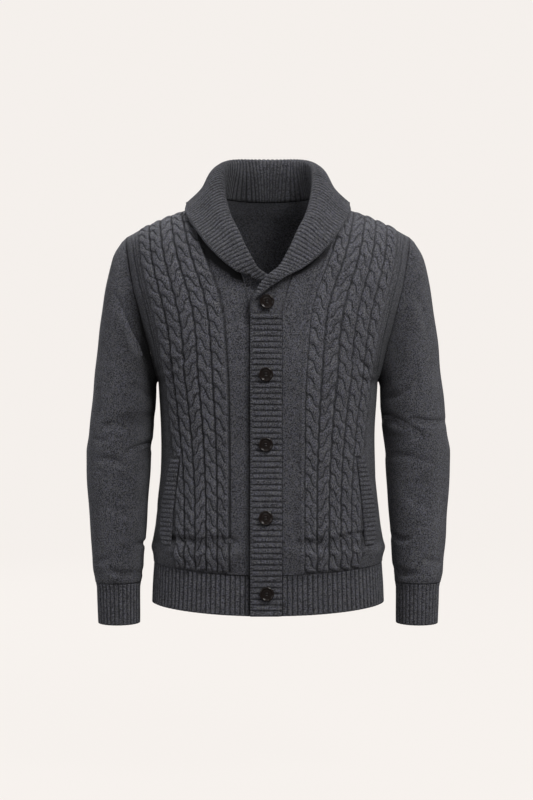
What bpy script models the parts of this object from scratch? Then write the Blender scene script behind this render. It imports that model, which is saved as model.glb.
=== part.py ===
"""Shawl collar cardigan, filled out as worn, with no wearer.

World axes: X to the viewer's right, -Y to the front, +Z up.  The origin is midway
between the shoulders at neck-point height.  Tables are in millimetres.
"Left" in a name is the wearer's left (+X).
"""
import math

import bmesh
import bpy
import numpy as np

MM = 0.001
SEAM = 0.3            # gap between two sewn pieces
NECK_SEAM = 0.4       # the same where the collar rounds the neckline
WALL = 3.0            # plain knit
COLLAR_WALL = 4.0     # ribbed collar, without its ribs
RIB = 1.3             # height of a rib
CABLE_H = 3.0         # height of a cable over the plain ground
CABLE_LOW = 1.2       # the strand that dives under
CABLES = 5
PITCH = 25.0          # one crossing of a cable
BULGE = 2.4           # squareness of the torso section
BAND_MID = -3.2       # the centre line of the bands lies a little off the middle
BAND_HALF = 25.2
BREAK_Z = -197.0      # the collar ends and the bands begin
ARMPIT, BREAK, TOP = 7, 11, 18     # rows of the front table
BACK_TOP = 16
NECK_X = 80.0         # neck point on the shoulder seam
TIP = (235.0, -62.0)  # shoulder tip (x, z)
PIT = (182.5, -304.0)  # bottom of the armhole (x, z)
NECK_Z = 8.0

# One row per level of the front, from the hem seam to the shoulder seam.
# top: share of the row that already lies on the shoulder seam.
FRONT_COLS = ("z_mid", "z_side", "x_side", "y_side", "depth", "x_neck", "x_plain", "x_cable", "top")
FRONT_ROWS = (
    (-612, -600, 190.0, 0, 125.5, 25.2, 60, 148, 0.0),
    (-582, -576, 192.0, 0, 128.5, 25.2, 60, 149, 0.0),
    (-538, -538, 187.0, 0, 127.0, 25.2, 60, 149, 0.0),
    (-500, -500, 183.0, 0, 124.0, 25.2, 60, 149, 0.0),
    (-451, -451, 178.5, 0, 120.5, 25.2, 60, 151, 0.0),
    (-411, -411, 177.5, 0, 119.5, 25.2, 60.5, 154, 0.0),
    (-350, -350, 179.5, 0, 123.0, 25.2, 61, 161, 0.0),
    (-304, -304, 182.5, 0, 127.0, 25.2, 62, 167, 0.0),
    (-288, -297, 184.0, -22, 128.0, 25.2, 63, 169, 0.0),
    (-262, -278, 188.0, -38, 129.0, 25.2, 64.5, 172, 0.0),
    (-230, -245, 195.0, -47, 130.0, 25.2, 67, 176, 0.0),
    (-197, -213, 204.0, -50, 130.0, 25.2, 70, 182, 0.0),
    (-168, -184, 211.0, -52, 129.0, 31.0, 76, 189, 0.0),
    (-138, -155, 219.0, -50, 128.0, 39.0, 86, 196, 0.0),
    (-112, -125, 225.0, -43, 127.0, 48.0, 98, 203, 0.05),
    (-88, -98, 230.0, -34, 125.0, 59.0, 108, 208, 0.15),
    (-66, -80, 233.0, -24, 122.0, 69.5, 116, 211, 0.35),
    (-50, -69, 234.5, -12, 118.0, 77.0, 122, 213, 0.65),
    (-40, -62, 235.0, 0, 110.0, 80.0, 125, 213, 1.0),
)
BACK_COLS = ("z_mid", "z_side", "x_side", "y_side", "depth", "x_neck", "top")
BACK_ROWS = (
    (-604, -600, 190.0, 0, 112.0, 68, 0.0),
    (-578, -576, 192.0, 0, 116.5, 68, 0.0),
    (-538, -538, 187.0, 0, 112.0, 68, 0.0),
    (-500, -500, 183.0, 0, 106.0, 68, 0.0),
    (-451, -451, 178.5, 0, 98.0, 68, 0.0),
    (-411, -411, 177.5, 0, 95.0, 68, 0.0),
    (-350, -350, 179.5, 0, 98.5, 69, 0.0),
    (-304, -304, 182.5, 0, 103.0, 70, 0.0),
    (-288, -297, 186.5, 23, 105.0, 71, 0.0),
    (-262, -276, 193.5, 42, 107.0, 71, 0.0),
    (-230, -246, 202.5, 54, 109.0, 72, 0.0),
    (-190, -208, 214.0, 60, 111.0, 74, 0.0),
    (-135, -152, 224.0, 58, 112.0, 76, 0.0),
    (-95, -118, 230.0, 50, 111.0, 78, 0.08),
    (-62, -91, 233.0, 38, 109.0, 79, 0.25),
    (-35, -72, 234.5, 19, 106.0, 80, 0.6),
    (-20, -62, 235.0, 0, 100.0, 80, 1.0),
)
BACK_NECK = (72.0, 6.0)    # y and z of the neck seam at the centre back

# One row per rib direction of the collar: seam point, roll line, free edge,
# half the distance of its two layers, and how far the fall bows out.
COLLAR_COLS = ("nx", "ny", "nz", "rx", "ry", "rz", "fx", "fy", "fz", "half", "bow")
COLLAR_HALF = (
    (0, 72, 6, 0, 87, 79, 0, 100, -8, 4.6, 4.0),
    (27, 67, 6, 30, 81, 78.5, 50, 94, -8, 4.6, 4.0),
    (52, 50, 6.5, 54.5, 65, 75.5, 92, 71, -11, 4.6, 3.0),
    (71, 26, 7, 72.5, 36, 66.5, 122, 38, -16, 4.5, 1.0),
    (79, 0, 8, 77.5, 0, 53, 135.5, 0, -14, 4.4, -2.5),
    (78, -28, -10, 77.5, -32, 27, 134.5, -40, -28, 4.2, 0.0),
    (72, -56, -32, 73.5, -62, -5, 126, -70, -51, 4.0, 2.5),
    (64, -84, -58, 65, -88, -33, 113, -93, -73, 3.8, 3.5),
    (56, -103, -83, 52, -109, -58, 96, -111, -95, 3.6, 3.0),
    (49, -115, -107, 37, -126, -88, 76, -123, -114, 3.4, 2.5),
    (43, -122, -128, 21, -134, -115, 52, -132, -130, 3.3, 1.6),
)
OVER_END = (
    (37, -126, -148, -1.5, -143.4, -141, 19, -143.5, -146, 3.2, 1.2),
    (32, -128, -166, -15, -142, -160, -3.5, -144, -162, 3.0, 0.6),
    (28, -129, -182, -21.5, -139.5, -177, -15.5, -141, -178, 2.7, 0.2),
    (22, -130, -197, -21, -136.6, -196.8, -16, -137.5, -196.8, 2.3, 0.0),
)
UNDER_END = (
    (37, -126, -148, 2, -128.4, -141, 14, -130.6, -149, 2.9, 0.4),
    (32, -128, -163, 3, -127.6, -156, 11, -130.2, -160, 2.7, 0.0),
    (28, -129, -180, 4, -126.0, -174, 11, -128.7, -176, 2.7, 0.0),
    (22, -130, -197, 4, -124.8, -196.8, 11, -127.5, -196.8, 2.7, 0.0),
)
OVER_FLAT = (0.0, 0.0, 0.0, 0.45, 1.0)      # how far the roll has opened out
UNDER_FLAT = (0.0, 0.0, 0.0, 0.0, 0.0)
UNDER_TIP = 1.3        # half the wall of the under layer's hidden end
OVER_STEP = 2.2        # the over layer stands off the under one beside its seam
COLLAR_RIB = 8.4
RIBBED_BOTH = 62.0     # near the over band both faces of the collar show

# Bands: where the front face lies, by height.
BAND_Z = (-676, -640, -612, -576, -538, -500, -451, -411, -350, -304, -262, -197)
BAND_Y = (-128.0, -127.0, -127.0, -128.5, -127.5, -124.5, -121.0, -120.0, -123.5, -127.0,
          -129.0, -130.0)
BAND_RIB = 9.0
BAND_END = -676.0

# Hem rib: half width, front depth, back depth by height below the seam.
HEM_COLS = ("drop", "half", "front", "back")
HEM_ROWS = ((0, 189.5, 125.0, 111.5), (66, 193.0, 127.0, 114.5))
HEM_RIB = 9.0

# Sleeve rings: outer and inner point of the silhouette, half depth, centre, roundness.
SLEEVE_COLS = ("xo", "zo", "xi", "zi", "half", "mid", "round")
SLEEVE_ROWS = (
    (244.0, -70, 184.2, -304.8, 57.0, 4, 0.10),
    (258.5, -96, 185.6, -309, 60.0, 3, 0.35),
    (269.4, -140, 186.2, -314, 63.0, 1, 0.65),
    (276.6, -187, 186.6, -320, 65.0, 0, 0.90),
    (283.6, -245, 187.0, -329, 65.5, -2, 1.0),
    (288.0, -292, 187.8, -342, 64.5, -4, 1.0),
    (293.5, -347, 189.5, -364, 62.5, -6, 1.0),
    (297.0, -388, 191.0, -390, 60.5, -8, 1.0),
    (301.8, -420, 194.5, -420, 59.0, -10, 1.0),
    (301.2, -449, 195.5, -449, 57.0, -12, 1.0),
    (298.0, -500, 198.6, -500, 53.5, -15, 1.0),
    (294.0, -551, 202.0, -551, 49.5, -18, 1.0),
    (291.0, -590, 204.8, -590, 46.5, -20, 1.0),
    (289.3, -616, 206.6, -616, 44.5, -21, 1.0),
    (285.0, -633.7, 209.8, -633.7, 41.0, -22, 1.0),
)
SLEEVE_INNER = (0, 1, 2, 3, 4, 6, 8, 10, 12, 14)
CUFF_COLS = ("z", "xo", "xi", "half", "mid")
CUFF_ROWS = ((-634.0, 283.3, 211.2, 39.6, -22), (-701, 280.6, 211.0, 38.0, -24))
CUFF_RIBS = 32

# Pocket welts: outer and inner edge by height.
WELT_COLS = ("z", "x_out", "x_in")
WELT_ROWS = ((-429, 155.5, 142.5), (-465, 163.5, 146.5), (-512, 173.0, 151.5),
             (-550, 174.0, 154.0), (-568, 169.0, 155.5))
WELT_WALL = 3.4
WELT_RIB = 7.5
WELT_LIFT = 0.5

BUTTON_AT = ((-1.8, -179.0), (-3.4, -293.4), (-3.6, -404.5), (-3.7, -520.0), (-2.1, -640.0))
BUTTON_1_FACE = -9.0       # the top one stands on its thread before the fall
BUTTON_PROFILE = ((0.0, 0.0), (9.6, 0.0), (11.5, 1.2), (11.5, 2.6), (10.4, 3.6), (8.2, 2.5),
                  (0.0, 2.1))
BUTTON_SIDES = 16


# ---------------------------------------------------------------- tables and curves

def table(cols, rows):
    """Columns of a table by name."""
    data = np.array(rows, float)
    return {name: data[:, k] for k, name in enumerate(cols)}


def slopes(ts, vs):
    """Slopes that keep a cubic between its table values."""
    step = np.diff(ts)
    rise = np.diff(vs) / step
    out = np.empty(len(vs))
    out[0], out[-1] = rise[0], rise[-1]
    for k in range(1, len(vs) - 1):
        if rise[k - 1] * rise[k] <= 0:
            out[k] = 0.0
        else:
            wa, wb = 2 * step[k] + step[k - 1], step[k] + 2 * step[k - 1]
            out[k] = (wa + wb) / (wa / rise[k - 1] + wb / rise[k])
    return out


def smooth(ts, vs, t):
    """Smooth curve through table values."""
    ts, vs = np.asarray(ts, float), np.asarray(vs, float)
    t = np.clip(np.asarray(t, float), ts[0], ts[-1])
    k = np.clip(np.searchsorted(ts, t, side="right") - 1, 0, len(ts) - 2)
    m = slopes(ts, vs)
    step = ts[k + 1] - ts[k]
    u = (t - ts[k]) / step
    return ((2 * u ** 3 - 3 * u ** 2 + 1) * vs[k] + (u ** 3 - 2 * u ** 2 + u) * step * m[k]
            + (3 * u ** 2 - 2 * u ** 3) * vs[k + 1] + (u ** 3 - u ** 2) * step * m[k + 1])


def unit(v):
    v = np.asarray(v, float)
    return v / np.maximum(np.linalg.norm(v, axis=-1, keepdims=True), 1e-9)


def lengths(points):
    """Running length of a polyline."""
    return np.concatenate([[0.0], np.cumsum(np.linalg.norm(np.diff(points, axis=0), axis=1))])


def grid_normals(grid, closed=False):
    """Unit normals of a grid of points, across x up."""
    if closed:
        across = np.roll(grid, -1, axis=1) - np.roll(grid, 1, axis=1)
    else:
        across = np.gradient(grid, axis=1)
    up = np.gradient(grid, axis=0)
    return unit(np.cross(across, up))


# ---------------------------------------------------------------- closed walls

class Wall:
    """A closed solid made of rows of points that are stitched together."""

    def __init__(self):
        self.points, self.faces = [], []

    def row(self, points):
        first = len(self.points)
        self.points.extend(map(tuple, np.asarray(points, float)))
        return list(range(first, len(self.points)))

    def far(self, i, j):
        return math.dist(self.points[i], self.points[j])

    def stitch(self, a, b, closed=False, lean=None):
        """Triangles between two rows; lean turns the diagonals of equal rows."""
        if closed:
            a, b = a + a[:1], b + b[:1]
        if len(a) == len(b):
            for k in range(len(a) - 1):
                if lean is not None and lean[k]:
                    self.faces += [(a[k], a[k + 1], b[k + 1]), (a[k], b[k + 1], b[k])]
                else:
                    self.faces += [(a[k], a[k + 1], b[k]), (a[k + 1], b[k + 1], b[k])]
            return
        i = j = 0
        while i < len(a) - 1 or j < len(b) - 1:
            if j == len(b) - 1 or (i < len(a) - 1 and self.far(a[i + 1], b[j])
                                   <= self.far(a[i], b[j + 1])):
                self.faces.append((a[i], a[i + 1], b[j]))
                i += 1
            else:
                self.faces.append((a[i], b[j + 1], b[j]))
                j += 1

    def skin(self, rows, closed=False, leans=None):
        ids = [self.row(r) for r in rows]
        for k in range(len(ids) - 1):
            self.stitch(ids[k], ids[k + 1], closed, None if leans is None else leans[k])
        return ids

    def sheet(self, outer, inner, leans=None):
        """Open panel: outer and inner face joined round their four sides."""
        a, b = self.skin(outer, leans=leans), self.skin(inner)
        self.stitch(a[0], b[0])
        self.stitch(a[-1], b[-1])
        self.stitch([r[0] for r in a], [r[0] for r in b])
        self.stitch([r[-1] for r in a], [r[-1] for r in b])

    def tube(self, outer, inner):
        """Tube wall: outer and inner face joined at both ends."""
        a, b = self.skin(outer, True), self.skin(inner, True)
        self.stitch(a[0], b[0], True)
        self.stitch(a[-1], b[-1], True)

    def make(self, name, material):
        mesh = bpy.data.meshes.new(name)
        mesh.from_pydata([tuple(c * MM for c in p) for p in self.points], [], self.faces)
        shape = bmesh.new()
        shape.from_mesh(mesh)
        bmesh.ops.recalc_face_normals(shape, faces=shape.faces)
        shape.to_mesh(mesh)
        shape.free()
        mesh.materials.append(material)
        thing = bpy.data.objects.new(name, mesh)
        bpy.context.scene.collection.objects.link(thing)
        return thing


# ---------------------------------------------------------------- torso

FRONT = table(FRONT_COLS, FRONT_ROWS)
BACK = table(BACK_COLS, BACK_ROWS)


def section(x, half, depth):
    """Depth of the torso section at a distance from the middle."""
    inside = np.clip(1 - (np.abs(x) / half) ** BULGE, 0, 1)
    return depth * inside ** (1 / BULGE)


def shift(x):
    """The front's middle lines follow the bands, which lie a little off the middle."""
    return BAND_MID * np.clip((120 - x) / 90, 0, 1)


def shoulder_z(x):
    return NECK_Z + (TIP[1] - NECK_Z) * (x - NECK_X) / (TIP[0] - NECK_X)


def row_at(columns, q):
    """One row of a torso table; the edge turns at the armpit from side seam to armhole."""
    marks = np.arange(len(columns["z_mid"]))
    row = {}
    for name, values in columns.items():
        part = slice(ARMPIT, None) if name.endswith("_side") and q >= ARMPIT else slice(None)
        row[name] = float(smooth(marks[part], values[part], q))
    return row


def lay(row, x, side, top_y, top_z):
    """Points of a row at distances x from the middle; side is -1 front, +1 back."""
    edge = abs(row["y_side"]) / row["depth"]
    half = row["x_side"] / (1 - edge ** BULGE) ** (1 / BULGE)
    frac = x / row["x_side"]
    y = section(x, half, row["depth"]) * (1 - row["top"]) + top_y * row["top"]
    z = row["z_mid"] + (row["z_side"] - row["z_mid"]) * frac ** 2
    z = z * (1 - row["top"]) + top_z * row["top"]
    end = np.argmax(x)
    y = y + (abs(row["y_side"]) - y[end]) * frac ** 4
    z = z + (row["z_side"] - z[end]) * frac ** 4
    return np.stack([x, side * y, z], axis=1)


def evenly(points, x, knots, counts):
    """Distances from the middle, evenly spaced along the cloth between knots."""
    run = lengths(points)
    at = np.interp([-k for k in knots], -x, run)
    marks = [np.linspace(at[k], at[k + 1], n + 1)[:-1] for k, n in enumerate(counts)]
    marks = np.concatenate(marks + [[at[-1]]])
    return np.interp(marks, run, x)


FRONT_COUNTS = (2, 3 * CABLES, 2)


def front_points(q, hand):
    """One row of the front from the side to the band, on one hand (+1 wearer's left)."""
    row = row_at(FRONT, q)
    x = np.linspace(row["x_side"], row["x_neck"], 240)
    dense = lay(row, x, -1, np.zeros_like(x), shoulder_z(x))
    knots = (row["x_side"], row["x_cable"], row["x_plain"], row["x_neck"])
    x = evenly(dense, x, knots, FRONT_COUNTS)
    points = lay(row, x, -1, np.zeros_like(x), shoulder_z(x))
    fade = min(1.0, (TOP - q) / (TOP - BREAK))
    points[:, 0] = hand * points[:, 0] + shift(points[:, 0]) * fade
    return points


def back_points(q):
    """One row of the back from side to side."""
    row = row_at(BACK, q)
    x = np.linspace(row["x_side"], 0, 300)

    def top(x):
        in_neck = np.clip(1 - (x / NECK_X) ** 2.3, 0, 1) ** (1 / 2.3)
        top_z = np.where(x > NECK_X, shoulder_z(x),
                         NECK_Z + (BACK_NECK[1] - NECK_Z) * in_neck)
        return BACK_NECK[0] * in_neck, top_z

    dense = lay(row, x, 1, *top(x))
    knots = (row["x_side"], row["x_neck"], 0.0)
    x = evenly(dense, x, knots, (5, 5))
    half = lay(row, x, 1, *top(x))
    return np.concatenate([half * (-1, 1, 1), half[-2::-1]])


def row_marks(path, parts):
    """Row numbers evenly spaced along a path, part by part."""
    marks = []
    for start, end, count in parts:
        q = np.linspace(start, end, 160)
        run = lengths(np.array([path(v) for v in q]))
        marks.append(np.interp(np.linspace(0, run[-1], count + 1)[:-1], run, q))
    return np.concatenate(marks + [[parts[-1][1]]])


def front_count(start, end):
    q = np.linspace(start, end, 160)
    run = lengths(np.array([front_points(v, 1)[9] for v in q]))[-1]
    return int(round(run / (PITCH / 2)))


FRONT_PARTS = tuple((a, b, front_count(a, b)) for a, b in ((0, ARMPIT), (ARMPIT, BREAK),
                                                          (BREAK, TOP)))
FRONT_Q = row_marks(lambda v: front_points(v, 1)[9], FRONT_PARTS)
PIT_ROW = FRONT_PARTS[0][2]
BREAK_ROW = PIT_ROW + FRONT_PARTS[1][2]
BACK_Q = row_marks(lambda v: back_points(v)[4], ((0, ARMPIT, 10), (ARMPIT, BACK_TOP, 12)))
BACK_PIT = 10
LOOP_MID = np.array([(TIP[0] + PIT[0]) / 2, 4.0, (TIP[1] + PIT[1]) / 2])


def rim_dirs(points, normals, hand):
    """Directions in which the armhole rim is cut: towards the middle of the loop."""
    mid = LOOP_MID * (hand, 1, 1)
    inward = unit(mid - points)
    return unit(inward - 0.8 * normals)


def torso_normals(grid, side):
    """Outward normals of a torso panel (side -1 front, +1 back)."""
    normals = grid_normals(grid)
    probe = normals[3, grid.shape[1] // 2]
    return normals * (1 if probe[1] * side > 0 else -1)


def edge_rules(grid, normals, side, pit, ends):
    """Square up a panel's edges so that neighbours meet face to face.

    ends maps an edge column to its hand."""
    seam_n = unit(np.array([TIP[0] - NECK_X, 0, NECK_Z - TIP[1]])[[2, 1, 0]])
    normals[0, :, 2] = 0
    normals[0] = unit(normals[0])
    for col, hand in ends.items():
        grid[:pit + 1, col, 1] = side * SEAM / 2
        normals[:pit + 1, col] = (hand, 0, 0)
        normals[pit:, col] = -rim_dirs(grid[pit:, col], normals[pit:, col], hand)
    return seam_n


def cable_heights(grid, hand):
    """Heights of the front's rope cables and the way their strands lean."""
    rows, cols = grid.shape[:2]
    heights = np.zeros((rows, cols))
    leans = [[False] * (cols - 1) for _ in range(rows - 1)]
    twists = (1, 1, -1, 1, 1)      # from the armhole inwards, on the wearer's right
    for c in range(CABLES):
        base = 2 + 3 * c
        twist = twists[c] if hand < 0 else twists[::-1][c]
        for k in range(rows):
            high_first = (k % 2 == 0) == (twist > 0)
            pair = (CABLE_H, CABLE_LOW) if high_first else (CABLE_LOW, CABLE_H)
            heights[k, base + 1], heights[k, base + 2] = pair
            if k < rows - 1:
                leans[k][base:base + 3] = [twist > 0] * 3
    heights[0], heights[-1] = 0, 0
    heights[1] *= 0.7
    heights[-2] *= 0.7
    for k in range(rows):
        for j in range(cols):
            if welt_covers(grid[k, j], hand):
                heights[k, j] = 0
    return heights, leans


def welt_covers(p, hand):
    """Whether a point of the front lies under its pocket welt."""
    if not (WELT_ROWS[-1][0] - 8 < p[2] < WELT_ROWS[0][0] + 8):
        return False
    welt = table(WELT_COLS, WELT_ROWS[::-1])
    outer = smooth(welt["z"], welt["x_out"], p[2]) + 4
    inner = smooth(welt["z"], welt["x_in"], p[2]) - 6
    return bool(inner < abs(p[0]) < outer)


def front_panel(hand):
    """Front of one hand: rows of outer and inner points."""
    grid = np.array([front_points(q, hand) for q in FRONT_Q])
    normals = torso_normals(grid, -1)
    seam_n = edge_rules(grid, normals, -1, PIT_ROW, {0: hand})
    grid[:BREAK_ROW + 1, -1, 0] = BAND_MID + hand * (BAND_HALF + SEAM / 2)
    normals[:BREAK_ROW + 1, -1] = (0, -1, 0)
    grid[-1, :, 1] = -SEAM / 2
    normals[-1] = unit(seam_n * (hand, 1, 1))
    normals[-1, 0] = -rim_dirs(grid[-1:, 0], normals[-1:, 0], hand)[0]
    heights, leans = cable_heights(grid, hand)
    outer = grid + normals * heights[..., None]
    keep = list(range(0, PIT_ROW, 4)) + list(range(PIT_ROW, BREAK_ROW, 2))
    keep += list(range(BREAK_ROW, len(grid) - 1, 2)) + [len(grid) - 1]
    cols = [0, 2, 7, 12, 17, 19]
    inner = grid[keep][:, cols] - WALL * normals[keep][:, cols]
    return {"grid": grid, "normals": normals, "outer": outer, "inner": inner, "keep": keep,
            "leans": leans}


def back_panel():
    grid = np.array([back_points(q) for q in BACK_Q])
    normals = torso_normals(grid, 1)
    last = grid.shape[1] - 1
    seam_n = edge_rules(grid, normals, 1, BACK_PIT, {0: -1, last: 1})
    for col in range(last + 1):
        x = grid[-1, col, 0]
        if abs(x) > NECK_X - 0.5:
            grid[-1, col, 1] = SEAM / 2
            normals[-1, col] = unit(seam_n * (math.copysign(1, x), 1, 1))
    for _ in range(3):
        soft = unit(normals[-1, :-2] + 2 * normals[-1, 1:-1] + normals[-1, 2:])
        for col in range(1, last):
            if abs(grid[-1, col, 0]) < NECK_X - 0.5:
                normals[-1, col] = soft[col - 1]
    for col, hand in ((0, -1), (last, 1)):
        normals[-1, col] = -rim_dirs(grid[-1:, col], normals[-1:, col], hand)[0]
    keep = list(range(0, BACK_PIT, 2)) + list(range(BACK_PIT, len(grid) - 1, 2)) + [len(grid) - 1]
    cols = [0, 3, 5, 6, 7, 8, 9, 10, 11, 12, 13, 14, 15, 17, 20]
    inner = grid[keep][:, cols] - WALL * normals[keep][:, cols]
    return {"grid": grid, "normals": normals, "outer": grid, "inner": inner, "keep": keep}


def inner_at_rows(panel, edge):
    """Inner edge points of a panel at every one of its rows."""
    keep, inner = panel["keep"], panel["inner"][:, edge]
    rows = np.arange(len(panel["grid"]))
    return np.stack([np.interp(rows, keep, inner[:, c]) for c in range(3)], axis=1)


# ---------------------------------------------------------------- sleeves and cuffs

def armhole(front, back, hand):
    """Armhole loop from the tip down the front and up the back, outer and inner."""
    col, icol = (0, 0) if hand < 0 else (-1, -1)
    f_out = front["outer"][PIT_ROW:, 0][::-1]
    b_out = back["outer"][BACK_PIT:, col]
    f_keep = [k for k in front["keep"] if k >= PIT_ROW]
    b_keep = [k for k in back["keep"] if k >= BACK_PIT]
    f_in = front["inner"][len(front["keep"]) - len(f_keep):, 0][::-1]
    b_in = back["inner"][len(back["keep"]) - len(b_keep):, icol]
    outer = np.concatenate([f_out, b_out[1:-1]])
    inner = np.concatenate([f_in, b_in[1:-1]])
    for loop, n in ((outer, len(f_out)), (inner, len(f_in))):
        loop[0, 1] = 0
        loop[n - 1, 1] = 0
    return outer, inner


def outward(loop, inward, hand):
    """Directions square to a loop's rim, out of the body."""
    along = np.roll(loop, -1, axis=0) - np.roll(loop, 1, axis=0)
    out = unit(np.cross(along, inward))
    return out * np.sign(out[:, :1] * hand)


def sleeve(front, back, hand):
    outer0, inner0 = armhole(front, back, hand)
    rings = table(SLEEVE_COLS, SLEEVE_ROWS)
    flip = np.array([hand, 1, 1])
    loop = outer0 * flip
    start = np.array([TIP[0], 0, TIP[1]])
    end = np.array([PIT[0], 0, PIT[1]])
    mid, axis = (start + end) / 2, (start - end) / 2
    across = np.array([-axis[2], 0, axis[0]]) / np.linalg.norm(axis)
    across *= math.copysign(1, across[0])
    split = int(np.argmin(np.linalg.norm(loop - end, axis=1)))
    run = lengths(np.concatenate([loop, loop[:1]]))
    share = np.where(np.arange(len(loop) + 1) <= split, 0.5 * run / run[split],
                     0.5 + 0.5 * (run - run[split]) / (run[-1] - run[split]))
    closed = np.concatenate([loop, loop[:1]]) - mid
    along_a = closed @ axis / (axis @ axis)
    depth = closed[:, 1]
    lift = closed @ across

    def ring(k, count):
        s = np.arange(count) / count
        a = np.interp(s, share, along_a)
        y = np.interp(s, share, depth)
        d = np.interp(s, share, lift)
        w = rings["round"][k]
        a = (1 - w) * a + w * np.cos(2 * math.pi * s)
        y = ((1 - w) * (y - 4) / 56 - w * np.sin(2 * math.pi * s)) * rings["half"][k]
        o = np.array([rings["xo"][k], 0, rings["zo"][k]])
        i = np.array([rings["xi"][k], 0, rings["zi"][k]])
        c, ax = (o + i) / 2, (o - i) / 2
        nrm = np.array([-ax[2], 0, ax[0]]) / np.linalg.norm(ax)
        nrm *= math.copysign(1, nrm[0])
        pts = c + a[:, None] * ax + ((1 - w) * d)[:, None] * nrm
        pts[:, 1] = rings["mid"][k] + y
        return pts

    def stack(count):
        grid = np.array([ring(k, count) for k in range(len(SLEEVE_ROWS))])
        normals = grid_normals(grid, True)
        centre = grid.mean(axis=1, keepdims=True)
        normals *= np.sign(np.sum(normals * (grid - centre), axis=2).mean())
        normals[-1, :, 2] = 0
        return grid, unit(normals)

    out_grid, _ = stack(22)
    in_grid, in_normals = stack(16)
    in_grid = in_grid - WALL * in_normals
    inward = unit(mid - loop)
    push = outward(loop, inward, 1)
    inner_loop = inner0 * flip
    near = [int(np.argmin(np.linalg.norm(loop - p, axis=1))) for p in inner_loop]
    ring0 = loop + SEAM * push
    ring0_in = inner_loop + SEAM * push[near]
    wall = Wall()
    outer = [ring0 * flip] + [r * flip for r in out_grid]
    inner = [ring0_in * flip] + [in_grid[k] * flip for k in SLEEVE_INNER]
    wall.tube(outer, inner)
    return wall


def cuff(hand):
    rows = table(CUFF_COLS, CUFF_ROWS)
    flip = np.array([hand, 1, 1])

    def ring(k, count, inset):
        s = 2 * math.pi * np.arange(count) / count
        a = (rows["xo"][k] - rows["xi"][k]) / 2 - inset
        b = rows["half"][k] - inset
        x = (rows["xo"][k] + rows["xi"][k]) / 2 + a * np.cos(s)
        return np.stack([x, rows["mid"][k] - b * np.sin(s), np.full(count, rows["z"][k])], axis=1)

    outer = []
    for k in range(len(CUFF_ROWS)):
        high, low = ring(k, 2 * CUFF_RIBS, 0), ring(k, 2 * CUFF_RIBS, RIB)
        high[1::2] = low[1::2]
        outer.append(high * flip)
    inner = [ring(k, 20, RIB + 2.6) * flip for k in range(2)]
    wall = Wall()
    wall.tube(outer, inner)
    return wall


# ---------------------------------------------------------------- hem rib

def hem(start, end, side, panel):
    """Hem rib between two places on the section; places are signed distances in x."""
    rows = table(HEM_COLS, HEM_ROWS)
    depth_name = "front" if side < 0 else "back"
    seam = panel[0] if (panel[0, 0, 0] > panel[0, -1, 0]) else panel[0, ::-1]
    seam_run, seam_z = lengths(seam), seam[:, 2]
    drop_mid = 64.0 if side < 0 else 68.0

    def face(k, xs, inset):
        half, depth = rows["half"][k], rows[depth_name][k]
        frac = np.clip(np.abs(xs) / half, 0, 1)
        y = side * section(xs, half, depth)
        slope = np.stack([np.sign(xs) * frac ** (BULGE - 1) / half,
                          side * (np.abs(y) / depth) ** (BULGE - 1) / depth], axis=1)
        slope = unit(slope)
        drop = rows["drop"][k] / 66 * (drop_mid + (70 - drop_mid) * frac ** 2)
        share = lengths(np.stack([xs, y, 0 * xs], axis=1))
        z = np.interp(share / share[-1], seam_run / seam_run[-1], seam_z) - SEAM - drop
        pts = np.stack([xs, y, z], axis=1)
        pts[:, :2] -= inset[:, None] * slope
        return pts

    def places(k, count):
        """Evenly spaced x on the section between the two ends."""
        half, depth = rows["half"][k], rows[depth_name][k]
        a = half if start is None else start
        b = -half if end is None else end
        xs = np.concatenate([half * np.cos(np.linspace(0, math.pi, 900))])
        xs = np.clip(xs, min(a, b), max(a, b))
        line = np.stack([xs, side * section(xs, half, depth), np.zeros_like(xs)], axis=1)
        run = lengths(line)
        return np.interp(np.linspace(0, run[-1], count + 1), run, xs)

    span = 265 if (start is not None or end is not None) else 545
    ribs = int(round(span / HEM_RIB))
    outer, inner = [], []
    for k in range(2):
        xs = places(k, 2 * ribs)
        inset = np.where(np.arange(len(xs)) % 2 == 0, RIB, 0.0)
        inset[0] = inset[-1] = RIB * 0.5
        outer.append(face(k, xs, inset))
    for k in range(2):
        xs = places(k, 12 if ribs < 40 else 22)
        inner.append(face(k, xs, np.full(len(xs), RIB + 2.8)))
    for rows_ in (outer, inner):
        for r in rows_:
            for at, limit in ((0, start), (-1, end)):
                if limit is None:
                    r[at, 1] = side * SEAM / 2
                else:
                    r[at, 0] = limit
    wall = Wall()
    wall.sheet(outer, inner)
    return wall


# ---------------------------------------------------------------- collar

def neck_line(left, back, right):
    """Neck seam from the wearer's left break round the back to the right one."""
    def edge(panel):
        rows = slice(BREAK_ROW, None)
        return panel["grid"][rows, -1], inner_at_rows(panel, -1)[rows]

    lo, li = edge(left)
    ro, ri = edge(right)
    cols = [c for c in range(back["grid"].shape[1]) if abs(back["grid"][-1, c, 0]) < NECK_X - 0.5]
    bo = back["grid"][-1, cols][::-1]
    bi = bo - WALL * back["normals"][-1, cols][::-1]
    outer = np.concatenate([lo, bo, ro[::-1]])
    inner = np.concatenate([li, bi, ri[::-1]])
    return outer, inner


def clear_of(points, surfaces, distance):
    """Points pushed out until they clear the panels by a distance."""
    ground = np.concatenate([s["grid"].reshape(-1, 3) for s in surfaces])
    away = np.concatenate([s["normals"].reshape(-1, 3) for s in surfaces])
    flat = points.reshape(-1, 3).copy()
    for _ in range(4):
        for k, p in enumerate(flat):
            near = np.argmin(np.sum((ground - p) ** 2, axis=1))
            if np.linalg.norm(ground[near] - p) > 60:
                continue
            gap = (p - ground[near]) @ away[near]
            if gap < distance:
                flat[k] = p + away[near] * (distance - gap)
    return flat.reshape(points.shape)


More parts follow.
